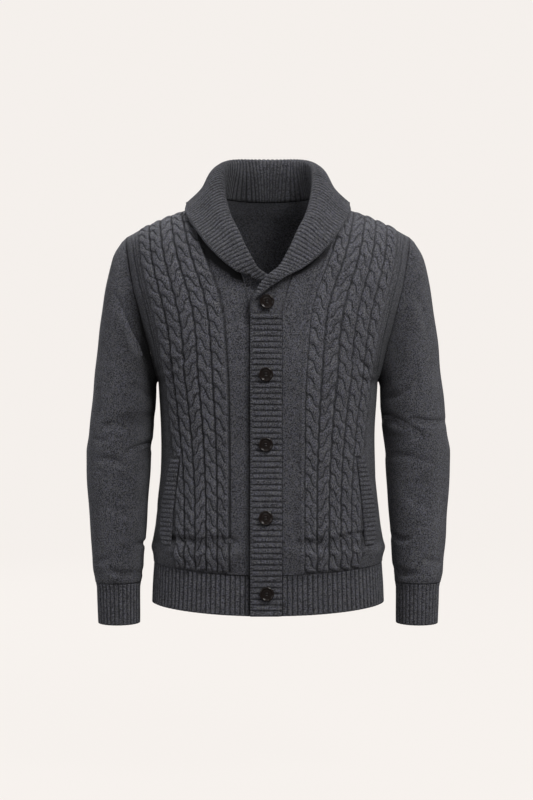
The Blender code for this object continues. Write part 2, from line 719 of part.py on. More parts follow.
def curl(start, ahead, out, radius, width, turn):
    """Roll apex, end of the roll, middle and edge of a strip that turns by an angle."""
    def point(arc, extra):
        bend = np.maximum(turn, 1e-3) / (math.pi * radius)
        angle = bend * arc
        pos = start + ahead * np.sin(angle) / bend + out * (1 - np.cos(angle)) / bend
        return pos + extra * (ahead * np.cos(angle) + out * np.sin(angle))

    arc = math.pi * radius
    return [point(arc / 2, 0), point(arc, 0), point(arc, width / 2), point(arc, width)]


def collar(left, back, right):
    half = [list(r) for r in COLLAR_HALF]
    rows, flats = [], []
    for end, flat, hand in ((OVER_END, OVER_FLAT, 1), (UNDER_END, UNDER_FLAT, -1)):
        part = half + [list(r) for r in end]
        marks = [0.0] * (len(half) - 1) + list(flat)
        side = [[hand * v if c in (0, 3, 6) else v for c, v in enumerate(r)] for r in part]
        if hand > 0:
            rows, flats = side[::-1], marks[::-1]
        else:
            rows, flats = rows + side[1:], flats + marks[1:]
    keys = table(COLLAR_COLS, rows)
    seam_out, seam_in = neck_line(left, back, right)
    run = lengths(seam_out)
    near = []
    for nx, ny, nz in zip(keys["nx"], keys["ny"], keys["nz"]):
        near.append(run[np.argmin(np.linalg.norm(seam_out - (nx, ny, nz), axis=1))])
    near[0], near[-1] = 0.0, run[-1]
    near = np.maximum.accumulate(np.array(near) + np.arange(len(near)) * 1e-6)
    roll_pts = np.stack([keys["rx"], keys["ry"], keys["rz"]], axis=1)
    marks = np.arange(len(rows), dtype=float)
    fine = np.linspace(0, marks[-1], 900)

    def at(name, t):
        return smooth(marks, keys[name], t)

    edge_run = lengths(np.stack([at("fx", fine) * 0.5 + at("rx", fine) * 0.5,
                                 at("fy", fine) * 0.5 + at("ry", fine) * 0.5,
                                 at("fz", fine) * 0.5 + at("rz", fine) * 0.5], axis=1))
    ribs = int(round(edge_run[-1] / COLLAR_RIB))
    t = np.interp(np.linspace(0, edge_run[-1], 2 * ribs + 1), edge_run, fine)
    pos = smooth(marks, near, t)
    outer = np.stack([np.interp(pos, run, seam_out[:, c]) for c in range(3)], axis=1)
    inner = np.stack([np.interp(pos, run, seam_in[:, c]) for c in range(3)], axis=1)
    rim = unit(inner - outer)
    roll = np.stack([at(n, t) for n in ("rx", "ry", "rz")], axis=1)
    edge = np.stack([at(n, t) for n in ("fx", "fy", "fz")], axis=1)
    gap, bow = at("half", t)[:, None], at("bow", t)[:, None]
    flat = np.interp(t, marks, flats)[:, None]
    along = unit(np.gradient(outer, axis=0))
    out_of = unit(np.cross(along, rim))
    toward = np.stack([-outer[:, 0], -np.maximum(outer[:, 1], 0), np.full(len(outer), 10.0)],
                      axis=1)
    out_of *= np.sign(np.sum(out_of * toward, axis=1))[:, None]
    outer, inner = outer + NECK_SEAM * out_of, inner + NECK_SEAM * out_of
    seam_mid = outer + rim * WALL / 2
    a_s = unit(roll - seam_mid)
    a_f = unit(roll - edge)
    tang = unit(np.gradient(roll, axis=0))
    e = unit(np.cross(tang, a_s))
    side = np.sum(e * (edge - seam_mid), axis=1)
    e *= np.where(side < 0, -1, 1)[:, None]
    e = unit(e)
    p2 = roll - a_s * gap - e * gap
    p4 = roll - a_f * gap + e * gap
    step = np.interp(t, (0, 4, 6), (1, 1, 0))[:, None] * OVER_STEP
    p1 = 0.6 * seam_mid + 0.4 * p2 + e * step
    rolled = [roll, p4, 0.5 * (p4 + edge) + e * bow, edge]
    width = np.maximum(np.linalg.norm(edge - p4, axis=1, keepdims=True), 1.2)
    full = curl(p2, a_s, e, gap, width, math.pi * np.ones_like(flat))
    opened = curl(p2, a_s, e, gap, width, math.pi * (1 - flat))
    fall = [o + (r - f) * (1 - flat) for o, r, f in zip(opened, rolled, full)]
    grid = np.stack([seam_mid, p1, p2] + fall, axis=1)
    over_panel = np.abs(grid[:, -1, 0]) > 32
    grid[over_panel, 5:] = clear_of(grid[over_panel, 5:], (left, back, right),
                                    CABLE_H + COLLAR_WALL / 2 + 1.0)
    normals = grid_normals(grid)
    mid = len(grid) // 2
    if normals[mid, 5, 1] < 0:
        normals = -normals
    normals[:, 0] = rim
    normals[0] = (0, 1, 0)
    heights = np.zeros(grid.shape[:2])
    heights[1::2, 1:-1] = RIB
    heights[t > marks[-1] - 3.5] = 0
    heights[:, 0] = 0
    heights[0] = 0
    thick = np.full(grid.shape[:2], COLLAR_WALL / 2)
    thick[:, 0] = WALL / 2
    thin = np.interp(t, (marks[-1] - 4, marks[-1] - 3), (COLLAR_WALL / 2, UNDER_TIP))
    thick[:, 1:] = np.minimum(thick[:, 1:], thin[:, None])
    show = grid + normals * (thick + heights)[..., None]
    under_h = np.zeros(grid.shape[:2])
    seam_run = lengths(grid[:, 4])
    both = [k for k in range(len(grid)) if seam_run[k] < RIBBED_BOTH]
    under_h[[k for k in both if k % 2 == 1], 1:3] = RIB
    under = grid - normals * (thick + under_h)[..., None]
    for face in (show, under):
        face[[0, -1], :, 2] = BREAK_Z
    last = len(grid) - 1
    keep = both + list(range(len(both) + 3, last - 24, 4)) + list(range(last - 22, last + 1, 2))
    wall = Wall()
    wall.sheet(list(show), list(under[keep]))
    return wall


# ---------------------------------------------------------------- bands, welts, buttons

def band(columns):
    """A front band: columns are (x, front face, back face, rib) offsets from the front."""
    top, bottom = BREAK_Z - SEAM, BAND_END
    count = 2 * int(round((top - bottom) / BAND_RIB))
    zs = np.linspace(top, bottom, count + 1)
    outer, inner = [], []
    for k, z in enumerate(zs):
        y = float(smooth(BAND_Z, BAND_Y, z))
        rib = RIB if k % 2 else 0.0
        outer.append([(x, y + f - rib * r, z) for x, f, b, r in columns])
    for z in np.linspace(top, bottom, 22):
        y = float(smooth(BAND_Z, BAND_Y, z))
        inner.append([(x, y + b, z) for x, f, b, r in columns])
    wall = Wall()
    wall.sheet(outer, inner)
    return wall


def welt(hand):
    """Pocket welt: the front's own surface moved out."""
    rows = table(WELT_COLS, WELT_ROWS[::-1])
    qs = np.linspace(1, 6, 400)
    levels = np.array([row_at(FRONT, q)["z_mid"] for q in qs])
    span = WELT_ROWS[0][0] - WELT_ROWS[-1][0]
    count = 2 * int(round(span / WELT_RIB))

    def face(z, cols, lift):
        row = row_at(FRONT, float(np.interp(z, levels, qs)))
        half, depth = row["x_side"], row["depth"]
        a, b = smooth(rows["z"], rows["x_out"], z), smooth(rows["z"], rows["x_in"], z)
        xs = np.linspace(a, b, cols)
        y = -section(xs, half, depth)
        n = unit(np.stack([(xs / half) ** (BULGE - 1) / half,
                           -(np.abs(y) / depth) ** (BULGE - 1) / depth], axis=1))
        pts = np.stack([xs, y, np.full(cols, z)], axis=1)
        pts[:, :2] += n * np.asarray(lift)[:, None]
        pts[:, 0] *= hand
        return pts

    zs = np.linspace(WELT_ROWS[-1][0], WELT_ROWS[0][0], count + 1)
    outer = []
    for k, z in enumerate(zs):
        rib = RIB if k % 2 else 0.0
        outer.append(face(z, 3, WELT_LIFT + WELT_WALL - RIB + np.array([0, rib, 0])))
    inner = [face(z, 3, [WELT_LIFT] * 3) for z in zs[::4]]
    if (count % 4) != 0:
        inner.append(face(zs[-1], 3, [WELT_LIFT] * 3))
    wall = Wall()
    wall.sheet(outer, inner)
    return wall


def button(x, z, front_face):
    wall = Wall()
    y, above = (float(smooth(BAND_Z, BAND_Y, v)) + front_face for v in (z, z + 10))
    tilt = (above - y) / 10
    s = 2 * math.pi * np.arange(BUTTON_SIDES) / BUTTON_SIDES
    rings = []
    for r, lift in BUTTON_PROFILE[1:-1]:
        rings.append(wall.row(np.stack([x + r * np.cos(s), y - lift + tilt * r * np.sin(s),
                                        z + r * np.sin(s)], axis=1)))
    for a, b in zip(rings, rings[1:]):
        wall.stitch(a, b, True)
    for ring, lift in ((rings[0], BUTTON_PROFILE[0][1]), (rings[-1], BUTTON_PROFILE[-1][1])):
        mid = wall.row([(x, y - lift, z)])[0]
        for k in range(BUTTON_SIDES):
            wall.faces.append((ring[k], ring[(k + 1) % BUTTON_SIDES], mid))
    return wall


# ---------------------------------------------------------------- scene

def material(name, color, roughness):
    mat = bpy.data.materials.new(name)
    mat.use_nodes = True
    shader = mat.node_tree.nodes["Principled BSDF"]
    shader.inputs["Base Color"].default_value = (*color, 1.0)
    shader.inputs["Roughness"].default_value = roughness
    mat.diffuse_color = (*color, 1.0)
    return mat


def main():
    for thing in list(bpy.data.objects):
        bpy.data.objects.remove(thing, do_unlink=True)
    knit = material("plain_knit_wool", (0.075, 0.075, 0.083), 0.9)
    rib = material("rib_knit_wool", (0.068, 0.068, 0.076), 0.9)
    horn = material("horn_button", (0.035, 0.022, 0.016), 0.35)

    left, right, back = front_panel(1), front_panel(-1), back_panel()
    for name, panel in (("front_left", left), ("front_right", right), ("back", back)):
        wall = Wall()
        wall.sheet(list(panel["outer"]), list(panel["inner"]), panel.get("leans"))
        wall.make(name, knit)
    for name, front, hand in (("left", left, 1), ("right", right, -1)):
        sleeve(front, back, hand).make("sleeve_" + name, knit)
        cuff(hand).make("cuff_" + name, rib)
    edge_l = BAND_MID + BAND_HALF + SEAM / 2
    edge_r = BAND_MID - BAND_HALF - SEAM / 2
    hem(None, edge_l, -1, left["grid"]).make("hem_front_left", rib)
    hem(edge_r, None, -1, right["grid"]).make("hem_front_right", rib)
    hem(None, None, 1, back["grid"]).make("hem_back", rib)
    collar(left, back, right).make("shawl_collar", rib)
    over = ((BAND_MID + BAND_HALF - SEAM / 2, -1.2, 2.6, 0.3), (14.0, -4.1, -0.8, 1.0),
            (-25.0, -4.1, -0.8, 1.0), (-28.4, -3.4, -1.2, 0.0))
    under = ((BAND_MID - BAND_HALF + SEAM / 2, 1.0, 4.2, 0.0), (-8.0, 1.4, 4.4, 1.0),
             (11.5, 1.6, 4.0, 0.3))
    band(over).make("buttonhole_band", rib)
    band(under).make("button_band", rib)
    for name, hand in (("left", 1), ("right", -1)):
        welt(hand).make("pocket_welt_" + name, rib)
    for k, (x, z) in enumerate(BUTTON_AT):
        face = -4.3 - RIB - SEAM if z < BREAK_Z else BUTTON_1_FACE
        button(x, z, face).make("button_%d" % (k + 1), horn)


main()
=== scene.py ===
"""Looks of the shawl collar cardigan: a filled-out knit garment with no wearer.

World axes: X to the viewer's right, -Y to the front, +Z up.  Tables and sizes are in
millimetres, as in the CAD source, and "left" is the wearer's left (+X).
"""

import math

import bmesh
import bpy
import numpy as np
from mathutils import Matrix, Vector
from mathutils.kdtree import KDTree

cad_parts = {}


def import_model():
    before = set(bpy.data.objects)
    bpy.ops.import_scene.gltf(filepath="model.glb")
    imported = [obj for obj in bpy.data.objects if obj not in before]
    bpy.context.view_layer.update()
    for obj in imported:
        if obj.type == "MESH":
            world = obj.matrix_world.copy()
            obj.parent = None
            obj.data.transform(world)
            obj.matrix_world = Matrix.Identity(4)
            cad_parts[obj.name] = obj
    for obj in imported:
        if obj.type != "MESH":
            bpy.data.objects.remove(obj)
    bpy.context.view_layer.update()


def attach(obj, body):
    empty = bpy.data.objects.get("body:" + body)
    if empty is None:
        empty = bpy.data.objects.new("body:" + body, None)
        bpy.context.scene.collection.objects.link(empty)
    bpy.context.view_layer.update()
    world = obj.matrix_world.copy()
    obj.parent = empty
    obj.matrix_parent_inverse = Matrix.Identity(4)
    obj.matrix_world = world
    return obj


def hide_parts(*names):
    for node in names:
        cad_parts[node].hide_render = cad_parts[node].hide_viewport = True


MM = 0.001
SEAM = 0.3              # gap between neighbouring pieces
NECK_SEAM = 0.4
WALL = 3.0              # thickness of the plain knit, and of the collar
COLLAR_WALL = 4.0
RIB = 1.3               # height of a rib in the CAD
CABLES = 5
CABLE_CLEAR = 3.0       # room that the collar leaves above the cables
PITCH = 25.0            # two crossings of a cable
BULGE = 2.4             # how square the torso's section is; 2 would be an ellipse
BAND_MID = -3.2         # x of the bands' middle, and half their width
BAND_HALF = 25.2
BREAK_Z = -197.0        # where the collar ends and the bands begin
ARMPIT, BREAK, TOP = 7, 11, 18      # rows of the front's table
BACK_TOP = 16           # last row of the back's table
BACK_PIT = 10           # CAD rows of the back below the armpit
NECK_X = 80.0           # ends of the shoulder seam: at the neck, and x and z at its tip
NECK_Z = 8.0
TIP = (235.0, -62.0)
PIT = (182.5, -304.0)   # x and z of the armpit

# rows from the hem seam up: z in the middle and at the side, the side's x and y, depth in
# the middle, x at the neck or band, where the plain strip and the cables begin, and how
# far the row follows the shoulder seam
FRONT_COLS = ("z_mid", "z_side", "x_side", "y_side", "depth", "x_neck", "x_plain", "x_cable",
              "top")
FRONT_ROWS = (
    (-612, -600, 190.0, 0, 125.5, 25.2, 60, 148, 0.0),
    (-582, -576, 192.0, 0, 128.5, 25.2, 60, 149, 0.0),
    (-538, -538, 187.0, 0, 127.0, 25.2, 60, 149, 0.0),
    (-500, -500, 183.0, 0, 124.0, 25.2, 60, 149, 0.0),
    (-451, -451, 178.5, 0, 120.5, 25.2, 60, 151, 0.0),
    (-411, -411, 177.5, 0, 119.5, 25.2, 60.5, 154, 0.0),
    (-350, -350, 179.5, 0, 123.0, 25.2, 61, 161, 0.0),
    (-304, -304, 182.5, 0, 127.0, 25.2, 62, 167, 0.0),
    (-288, -297, 184.0, -22, 128.0, 25.2, 63, 169, 0.0),
    (-262, -278, 188.0, -38, 129.0, 25.2, 64.5, 172, 0.0),
    (-230, -245, 195.0, -47, 130.0, 25.2, 67, 176, 0.0),
    (-197, -213, 204.0, -50, 130.0, 25.2, 70, 182, 0.0),
    (-168, -184, 211.0, -52, 129.0, 31.0, 76, 189, 0.0),
    (-138, -155, 219.0, -50, 128.0, 39.0, 86, 196, 0.0),
    (-112, -125, 225.0, -43, 127.0, 48.0, 98, 203, 0.05),
    (-88, -98, 230.0, -34, 125.0, 59.0, 108, 208, 0.15),
    (-66, -80, 233.0, -24, 122.0, 69.5, 116, 211, 0.35),
    (-50, -69, 234.5, -12, 118.0, 77.0, 122, 213, 0.65),
    (-40, -62, 235.0, 0, 110.0, 80.0, 125, 213, 1.0),
)
BACK_COLS = ("z_mid", "z_side", "x_side", "y_side", "depth", "x_neck", "top")
BACK_ROWS = (
    (-604, -600, 190.0, 0, 112.0, 68, 0.0),
    (-578, -576, 192.0, 0, 116.5, 68, 0.0),
    (-538, -538, 187.0, 0, 112.0, 68, 0.0),
    (-500, -500, 183.0, 0, 106.0, 68, 0.0),
    (-451, -451, 178.5, 0, 98.0, 68, 0.0),
    (-411, -411, 177.5, 0, 95.0, 68, 0.0),
    (-350, -350, 179.5, 0, 98.5, 69, 0.0),
    (-304, -304, 182.5, 0, 103.0, 70, 0.0),
    (-288, -297, 186.5, 23, 105.0, 71, 0.0),
    (-262, -276, 193.5, 42, 107.0, 71, 0.0),
    (-230, -246, 202.5, 54, 109.0, 72, 0.0),
    (-190, -208, 214.0, 60, 111.0, 74, 0.0),
    (-135, -152, 224.0, 58, 112.0, 76, 0.0),
    (-95, -118, 230.0, 50, 111.0, 78, 0.08),
    (-62, -91, 233.0, 38, 109.0, 79, 0.25),
    (-35, -72, 234.5, 19, 106.0, 80, 0.6),
    (-20, -62, 235.0, 0, 100.0, 80, 1.0),
)
BACK_NECK = (72.0, 6.0)

# stations from the back of the neck: neck seam, roll line, free edge, half the roll's
# thickness and the bow of the fall; the last ones differ between the over and under end
COLLAR_COLS = ("nx", "ny", "nz", "rx", "ry", "rz", "fx", "fy", "fz", "half", "bow")
COLLAR_HALF = (
    (0, 72, 6, 0, 87, 79, 0, 100, -8, 4.6, 4.0),
    (27, 67, 6, 30, 81, 78.5, 50, 94, -8, 4.6, 4.0),
    (52, 50, 6.5, 54.5, 65, 75.5, 92, 71, -11, 4.6, 3.0),
    (71, 26, 7, 72.5, 36, 66.5, 122, 38, -16, 4.5, 1.0),
    (79, 0, 8, 77.5, 0, 53, 135.5, 0, -14, 4.4, -2.5),
    (78, -28, -10, 77.5, -32, 27, 134.5, -40, -28, 4.2, 0.0),
    (72, -56, -32, 73.5, -62, -5, 126, -70, -51, 4.0, 2.5),
    (64, -84, -58, 65, -88, -33, 113, -93, -73, 3.8, 3.5),
    (56, -103, -83, 52, -109, -58, 96, -111, -95, 3.6, 3.0),
    (49, -115, -107, 37, -126, -88, 76, -123, -114, 3.4, 2.5),
    (43, -122, -128, 21, -134, -115, 52, -132, -130, 3.3, 1.6),
)
OVER_END = (
    (37, -126, -148, -1.5, -143.4, -141, 19, -143.5, -146, 3.2, 1.2),
    (32, -128, -166, -15, -142, -160, -3.5, -144, -162, 3.0, 0.6),
    (28, -129, -182, -21.5, -139.5, -177, -15.5, -141, -178, 2.7, 0.2),
    (22, -130, -197, -21, -136.6, -196.8, -16, -137.5, -196.8, 2.3, 0.0),
)
UNDER_END = (
    (37, -126, -148, 2, -128.4, -141, 14, -130.6, -149, 2.9, 0.4),
    (32, -128, -163, 3, -127.6, -156, 11, -130.2, -160, 2.7, 0.0),
    (28, -129, -180, 4, -126.0, -174, 11, -128.7, -176, 2.7, 0.0),
    (22, -130, -197, 4, -124.8, -196.8, 11, -127.5, -196.8, 2.7, 0.0),
)
# how far the fall lies opened out instead of rolled over, along each end
OVER_FLAT = (0.0, 0.0, 0.0, 0.45, 1.0)
UNDER_FLAT = (0.0,) * len(OVER_FLAT)
UNDER_TIP = 1.3         # half thickness of the under end, behind the over one
OVER_STEP = 2.2         # how far the over end is stepped out at its seam
COLLAR_RIB = 8.4        # rib period along the collar's edge
RIBBED_BOTH = 62.0      # length from the over end that is ribbed fully on its inner face too

# the fronts' middle line, on which the bands lie
BAND_Z = (-676, -640, -612, -576, -538, -500, -451, -411, -350, -304, -262, -197)
BAND_Y = (-128.0, -127.0, -127.0, -128.5, -127.5, -124.5, -121.0, -120.0, -123.5, -127.0,
          -129.0, -130.0)
BAND_RIB = 9.0          # rib period down a band
BAND_END = -676.0

# top and bottom of the hem rib: half width, and depth of the front and back
HEM_COLS = ("half", "front", "back")
HEM_ROWS = ((189.5, 125.0, 111.5), (193.0, 127.0, 114.5))
HEM_HIGH = 66.0
HEM_RIB = 9.0           # rib period round the hem
HEM_DROP = {-1: 64.0, 1: 68.0}      # its height in the middle of the front and of the back
HEM_SPAN = {-1: 265.0, 1: 545.0}    # length of a front and of the back

# rings down a sleeve: outer and inner point, half depth, y of the middle, and roundness
SLEEVE_COLS = ("xo", "zo", "xi", "zi", "half", "mid", "round")
SLEEVE_ROWS = (
    (244.0, -70, 184.2, -304.8, 57.0, 4, 0.10),
    (258.5, -96, 185.6, -309, 60.0, 3, 0.35),
    (269.4, -140, 186.2, -314, 63.0, 1, 0.65),
    (276.6, -187, 186.6, -320, 65.0, 0, 0.90),
    (283.6, -245, 187.0, -329, 65.5, -2, 1.0),
    (288.0, -292, 187.8, -342, 64.5, -4, 1.0),
    (293.5, -347, 189.5, -364, 62.5, -6, 1.0),
    (297.0, -388, 191.0, -390, 60.5, -8, 1.0),
    (301.8, -420, 194.5, -420, 59.0, -10, 1.0),
    (301.2, -449, 195.5, -449, 57.0, -12, 1.0),
    (298.0, -500, 198.6, -500, 53.5, -15, 1.0),
    (294.0, -551, 202.0, -551, 49.5, -18, 1.0),
    (291.0, -590, 204.8, -590, 46.5, -20, 1.0),
    (289.3, -616, 206.6, -616, 44.5, -21, 1.0),
    (285.0, -633.7, 209.8, -633.7, 41.0, -22, 1.0),
)
CUFF_COLS = ("z", "xo", "xi", "half", "mid")
CUFF_ROWS = ((-634.0, 283.3, 211.2, 39.6, -22), (-701, 280.6, 211.0, 38.0, -24))
CUFF_RIBS = 32

WELT_COLS = ("z", "x_out", "x_in")
WELT_ROWS = ((-429, 155.5, 142.5), (-465, 163.5, 146.5), (-512, 173.0, 151.5),
             (-550, 174.0, 154.0), (-568, 169.0, 155.5))
WELT_WALL = 3.4
WELT_RIB = 7.5
WELT_LIFT = 0.5         # gap between a welt and its front

# x and z of the five buttons
BUTTON_AT = ((-1.8, -179.0), (-3.4, -293.4), (-3.6, -404.5), (-3.7, -520.0), (-2.1, -640.0))
BUTTON_1_FACE = -9.0    # how far the top button's back lies before the front's own surface

# detail that only the render carries
ROW_FINE = 11            # fine rows for one row of the CAD front
CABLE_FINE = 22          # samples across one cable
SIDE_FINE, PLAIN_FINE = 12, 18      # samples across the strips on both sides of the cables
RIB_FINE = 10            # samples along one rib period
RIB_DEEP = 1.9           # a rib from its valley to its crest
RIB_CREST = 0.68         # the lower, the broader the crest of a rib
SEAM_DIP = 0.7           # how far a panel's edge rolls into its seam
SEAM_REACH = 1.8
STITCH = (2.8, 2.1)      # width and height of one knit stitch
RIB_TONE = 0.75          # height of the wave at which a rib keeps the wool's own colour; painted shade in the valleys below it, painted light on the crests above it
RIB_LINING = 0.2         # the ribs' inner faces are a little lighter
CUFF_LIGHT = 0.18        # painted light: the left cuff's colour is made lighter
SWING = 0.20             # how far a strand swings, of the cable's width
CROSS = 1.3              # how quickly the strands change places
STRAND = 0.29            # half width of a strand, of the cable's width
STRAND_H = 2.6           # height of a strand
LIFT = 0.8               # the strand on top lies this much higher at a crossing
SHOULDER_RISE = 3.0      # the shoulder stands this much fuller than its seam's line
GUTTER = 1.1             # depth of the valley between two cables
GUTTER_WIDE = 0.10       # half its width, of the cable's width
BESIDE = 0.4             # height of the cloth beside a crossing
CREASE = 1.4             # depth of the crease where one strand goes under the other


# ---------------------------------------------------------------- tables and curves

def table(cols, rows):
    """Columns of a table by name."""
    data = np.array(rows, float)
    return {name: data[:, k] for k, name in enumerate(cols)}


def slopes(ts, vs):
    """Slopes that keep a cubic between its table values."""
    step = np.diff(ts)
    rise = np.diff(vs) / step
    out = np.empty(len(vs))
    out[0], out[-1] = rise[0], rise[-1]
    for k in range(1, len(vs) - 1):
        if rise[k - 1] * rise[k] <= 0:
            out[k] = 0.0
        else:
            wa, wb = 2 * step[k] + step[k - 1], step[k] + 2 * step[k - 1]
            out[k] = (wa + wb) / (wa / rise[k - 1] + wb / rise[k])
    return out


def smooth(ts, vs, t):
    """Smooth curve through table values."""
    ts, vs = np.asarray(ts, float), np.asarray(vs, float)
    t = np.clip(np.asarray(t, float), ts[0], ts[-1])
    k = np.clip(np.searchsorted(ts, t, side="right") - 1, 0, len(ts) - 2)
    m = slopes(ts, vs)
    step = ts[k + 1] - ts[k]
    u = (t - ts[k]) / step
    return ((2 * u ** 3 - 3 * u ** 2 + 1) * vs[k] + (u ** 3 - 2 * u ** 2 + u) * step * m[k]
            + (3 * u ** 2 - 2 * u ** 3) * vs[k + 1] + (u ** 3 - u ** 2) * step * m[k + 1])


def unit(v):
    v = np.asarray(v, float)
    return v / np.maximum(np.linalg.norm(v, axis=-1, keepdims=True), 1e-9)


def xyz(x, y, z):
    """Points from their coordinates, any of which may be one number for all."""
    return np.stack(np.broadcast_arrays(x, y, z), axis=-1)


def lengths(points):
    """Running length of a polyline."""
    return np.concatenate([[0.0], np.cumsum(np.linalg.norm(np.diff(points, axis=0), axis=1))])


def at_lengths(at, run, points):
    """Points of a polyline at some of its running lengths."""
    return np.stack([np.interp(at, run, points[:, c]) for c in range(3)], axis=1)


def run_across(grid):
    """Running length along each row of a grid."""
    step = np.linalg.norm(np.diff(grid, axis=1), axis=2)
    return np.concatenate([np.zeros((len(grid), 1)), np.cumsum(step, axis=1)], axis=1)


def grid_normals(grid, closed=False):
    """Unit normals of a grid of points, across x up."""
    if closed:
        across = np.roll(grid, -1, axis=1) - np.roll(grid, 1, axis=1)
    else:
        across = np.gradient(grid, axis=1)
    up = np.gradient(grid, axis=0)
    return unit(np.cross(across, up))


def ease(x):
    """0 below 0, 1 above 1, smooth between."""
    x = np.clip(x, 0, 1)
    return x * x * (3 - 2 * x)


def window(x, start, end, rise, fall):
    """1 between start and end, fading smoothly to 0 at both, over rise and over fall."""
    return ease((x - start) / rise) * ease((end - x) / fall)


def bell(x, width):
    """1 at nought, fading smoothly to both sides over a few widths."""
    return np.exp(-(x / width) ** 2)


def rib_wave(phase):
    """0 in the thin valley of a rib (whole phases), 1 on its broad crest of two wales."""
    crest = np.abs(np.sin(np.pi * phase)) ** RIB_CREST
    return crest - 0.13 * bell(phase % 1 - 0.5, 0.07)


def rib_places(ribs, other):
    """Places of the stitches on a rib, with three wales to each, and along the wales."""
    places = np.broadcast_arrays((3 * ribs + 1.5) * STITCH[0], other)
    return np.stack(places, axis=-1)


def finer(points, count):
    """A grid whose rows run smoothly through the given columns, with count cells."""
    rows = []
    for line in points:
        run = lengths(line)
        at = np.linspace(0, run[-1], count + 1)
        rows.append(np.stack([smooth(run, line[:, c], at) for c in range(3)], axis=1))
    return np.array(rows)


def drift(points, seed, size=55.0):
    """Slow unevenness of hand, from -1 to 1, of about the given size."""
    x, y, z = (points[..., c] / size for c in range(3))
    s = 1.7 * seed
    return (np.sin(2.1 * x + 1.3 * z + s) * np.sin(1.7 * z - 0.8 * y + 2 * s)
            + 0.6 * np.sin(3.7 * z + 1.9 * x + 3 * s) * np.cos(2.9 * x - 1.1 * y + s)) / 1.6


# ---------------------------------------------------------------- meshes and shells of cloth

def add_mesh(name, points, faces, material, outward=True, weld=0.0):
    """A smooth object of faces between points in metres."""
    mesh = bpy.data.meshes.new(name)
    mesh.from_pydata(np.asarray(points).tolist(), [], faces)
    if outward:
        shape = bmesh.new()
        shape.from_mesh(mesh)
        if weld:
            bmesh.ops.remove_doubles(shape, verts=shape.verts, dist=weld)
        bmesh.ops.recalc_face_normals(shape, faces=shape.faces)
        shape.to_mesh(mesh)
        shape.free()
    mesh.polygons.foreach_set("use_smooth", np.ones(len(mesh.polygons), bool))
    mesh.materials.append(material)
    thing = bpy.data.objects.new(name, mesh)
    bpy.context.scene.collection.objects.link(thing)
    return thing


def ring_faces(rings, sides):
    """Four-sided faces between rings of the same number of points."""
    faces = []
    for low in range(0, (rings - 1) * sides, sides):
        for j in range(sides):
            n = (j + 1) % sides
            faces.append((low + j, low + n, low + sides + n, low + sides + j))
    return faces


class Shell:
    """A closed thin piece of cloth: a fine outer and a coarser inner grid, joined at the rims.

    Each point carries the place of its stitch, in millimetres across and along the wales,
    and its painted light and shade, kept as the deep attribute: below nought it darkens the
    wool as painted shade, above nought it lightens it as painted light."""

    def __init__(self, outer, places, deep, inner, inner_painted_tone, closed=False, inner_places=None):
        self.points, self.stitch, self.deep, self.faces = [], [], [], []
        if inner_places is None:
            inner_places = inner[..., ::2]      # x and z serve inside
        a, b = self.add(outer, places, deep), self.add(inner, inner_places, inner_painted_tone)
        b = b + a.size
        self.weave(a, closed)
        self.weave(b, closed)
        for row in (0, -1):
            self.zip(a[row], b[row], closed)
        if not closed:
            for col in (0, -1):
                self.zip(a[:, col], b[:, col])

    def add(self, grid, places, deep):
        """Keep the points of a grid; returns their numbers within it."""
        size = grid.shape[:2]
        self.points.append(grid.reshape(-1, 3))
        self.stitch.append(np.broadcast_to(places, size + (2,)).reshape(-1, 2))
        self.deep.append(np.broadcast_to(deep, size).reshape(-1))
        return np.arange(size[0] * size[1]).reshape(size)

    def weave(self, ids, closed=False):
        """Four-sided faces over a grid of point numbers."""
        if closed:
            ids = np.concatenate([ids, ids[:, :1]], axis=1)
        quads = np.stack([ids[:-1, :-1], ids[:-1, 1:], ids[1:, 1:], ids[1:, :-1]], axis=-1)
        self.faces += quads.reshape(-1, 4).tolist()

    def zip(self, a, b, closed=False):
        """Triangles between two rows of different counts, by the shorter diagonal."""
        points = np.concatenate(self.points)
        a, b = list(a), list(b)
        if closed:
            a, b = a + a[:1], b + b[:1]
        i = j = 0
        while i < len(a) - 1 or j < len(b) - 1:
            along_a = i < len(a) - 1
            if along_a and j < len(b) - 1:
                along_a = (math.dist(points[a[i + 1]], points[b[j]])
                           <= math.dist(points[a[i]], points[b[j + 1]]))
            if along_a:
                self.faces.append([a[i], a[i + 1], b[j]])
                i += 1
            else:
                self.faces.append([a[i], b[j + 1], b[j]])
                j += 1

    def make(self, name, material):
        thing = add_mesh(name, np.concatenate(self.points) * MM, self.faces, material)
        mesh = thing.data
        corners = np.empty(len(mesh.loops), np.int32)
        mesh.loops.foreach_get("vertex_index", corners)
        layer = mesh.uv_layers.new(name="knit")
        places = np.concatenate(self.stitch)[corners]
        layer.data.foreach_set("uv", places.astype(np.float32).ravel())
        # the deep attribute carries the painted light and shade of the wool's colour
        relief = mesh.attributes.new("deep", "FLOAT", "POINT")
        relief.data.foreach_set("value", np.concatenate(self.deep).astype(np.float32))
        return thing


# ---------------------------------------------------------------- torso

FRONT = table(FRONT_COLS, FRONT_ROWS)
BACK = table(BACK_COLS, BACK_ROWS)
CAD_COUNTS = (2, 3 * CABLES, 2)
FINE_COUNTS = (SIDE_FINE, CABLE_FINE * CABLES, PLAIN_FINE)


def section(x, half, depth):
    """Depth of the torso section at a distance from the middle."""
    inside = np.clip(1 - (np.abs(x) / half) ** BULGE, 0, 1)
    return depth * inside ** (1 / BULGE)


def section_normals(x, y, half, depth):
    """Outward directions of the torso section, in plan."""
    parts = [np.sign(v) * np.clip(np.abs(v) / size, 0, 1) ** (BULGE - 1) / size
             for v, size in ((x, half), (y, depth))]
    return unit(np.stack(parts, axis=1))


def shift(x):
    """How far the middle of the fronts is off the middle of the body."""
    return BAND_MID * np.clip((120 - x) / 90, 0, 1)


def shoulder_z(x):
    return NECK_Z + (TIP[1] - NECK_Z) * (x - NECK_X) / (TIP[0] - NECK_X)


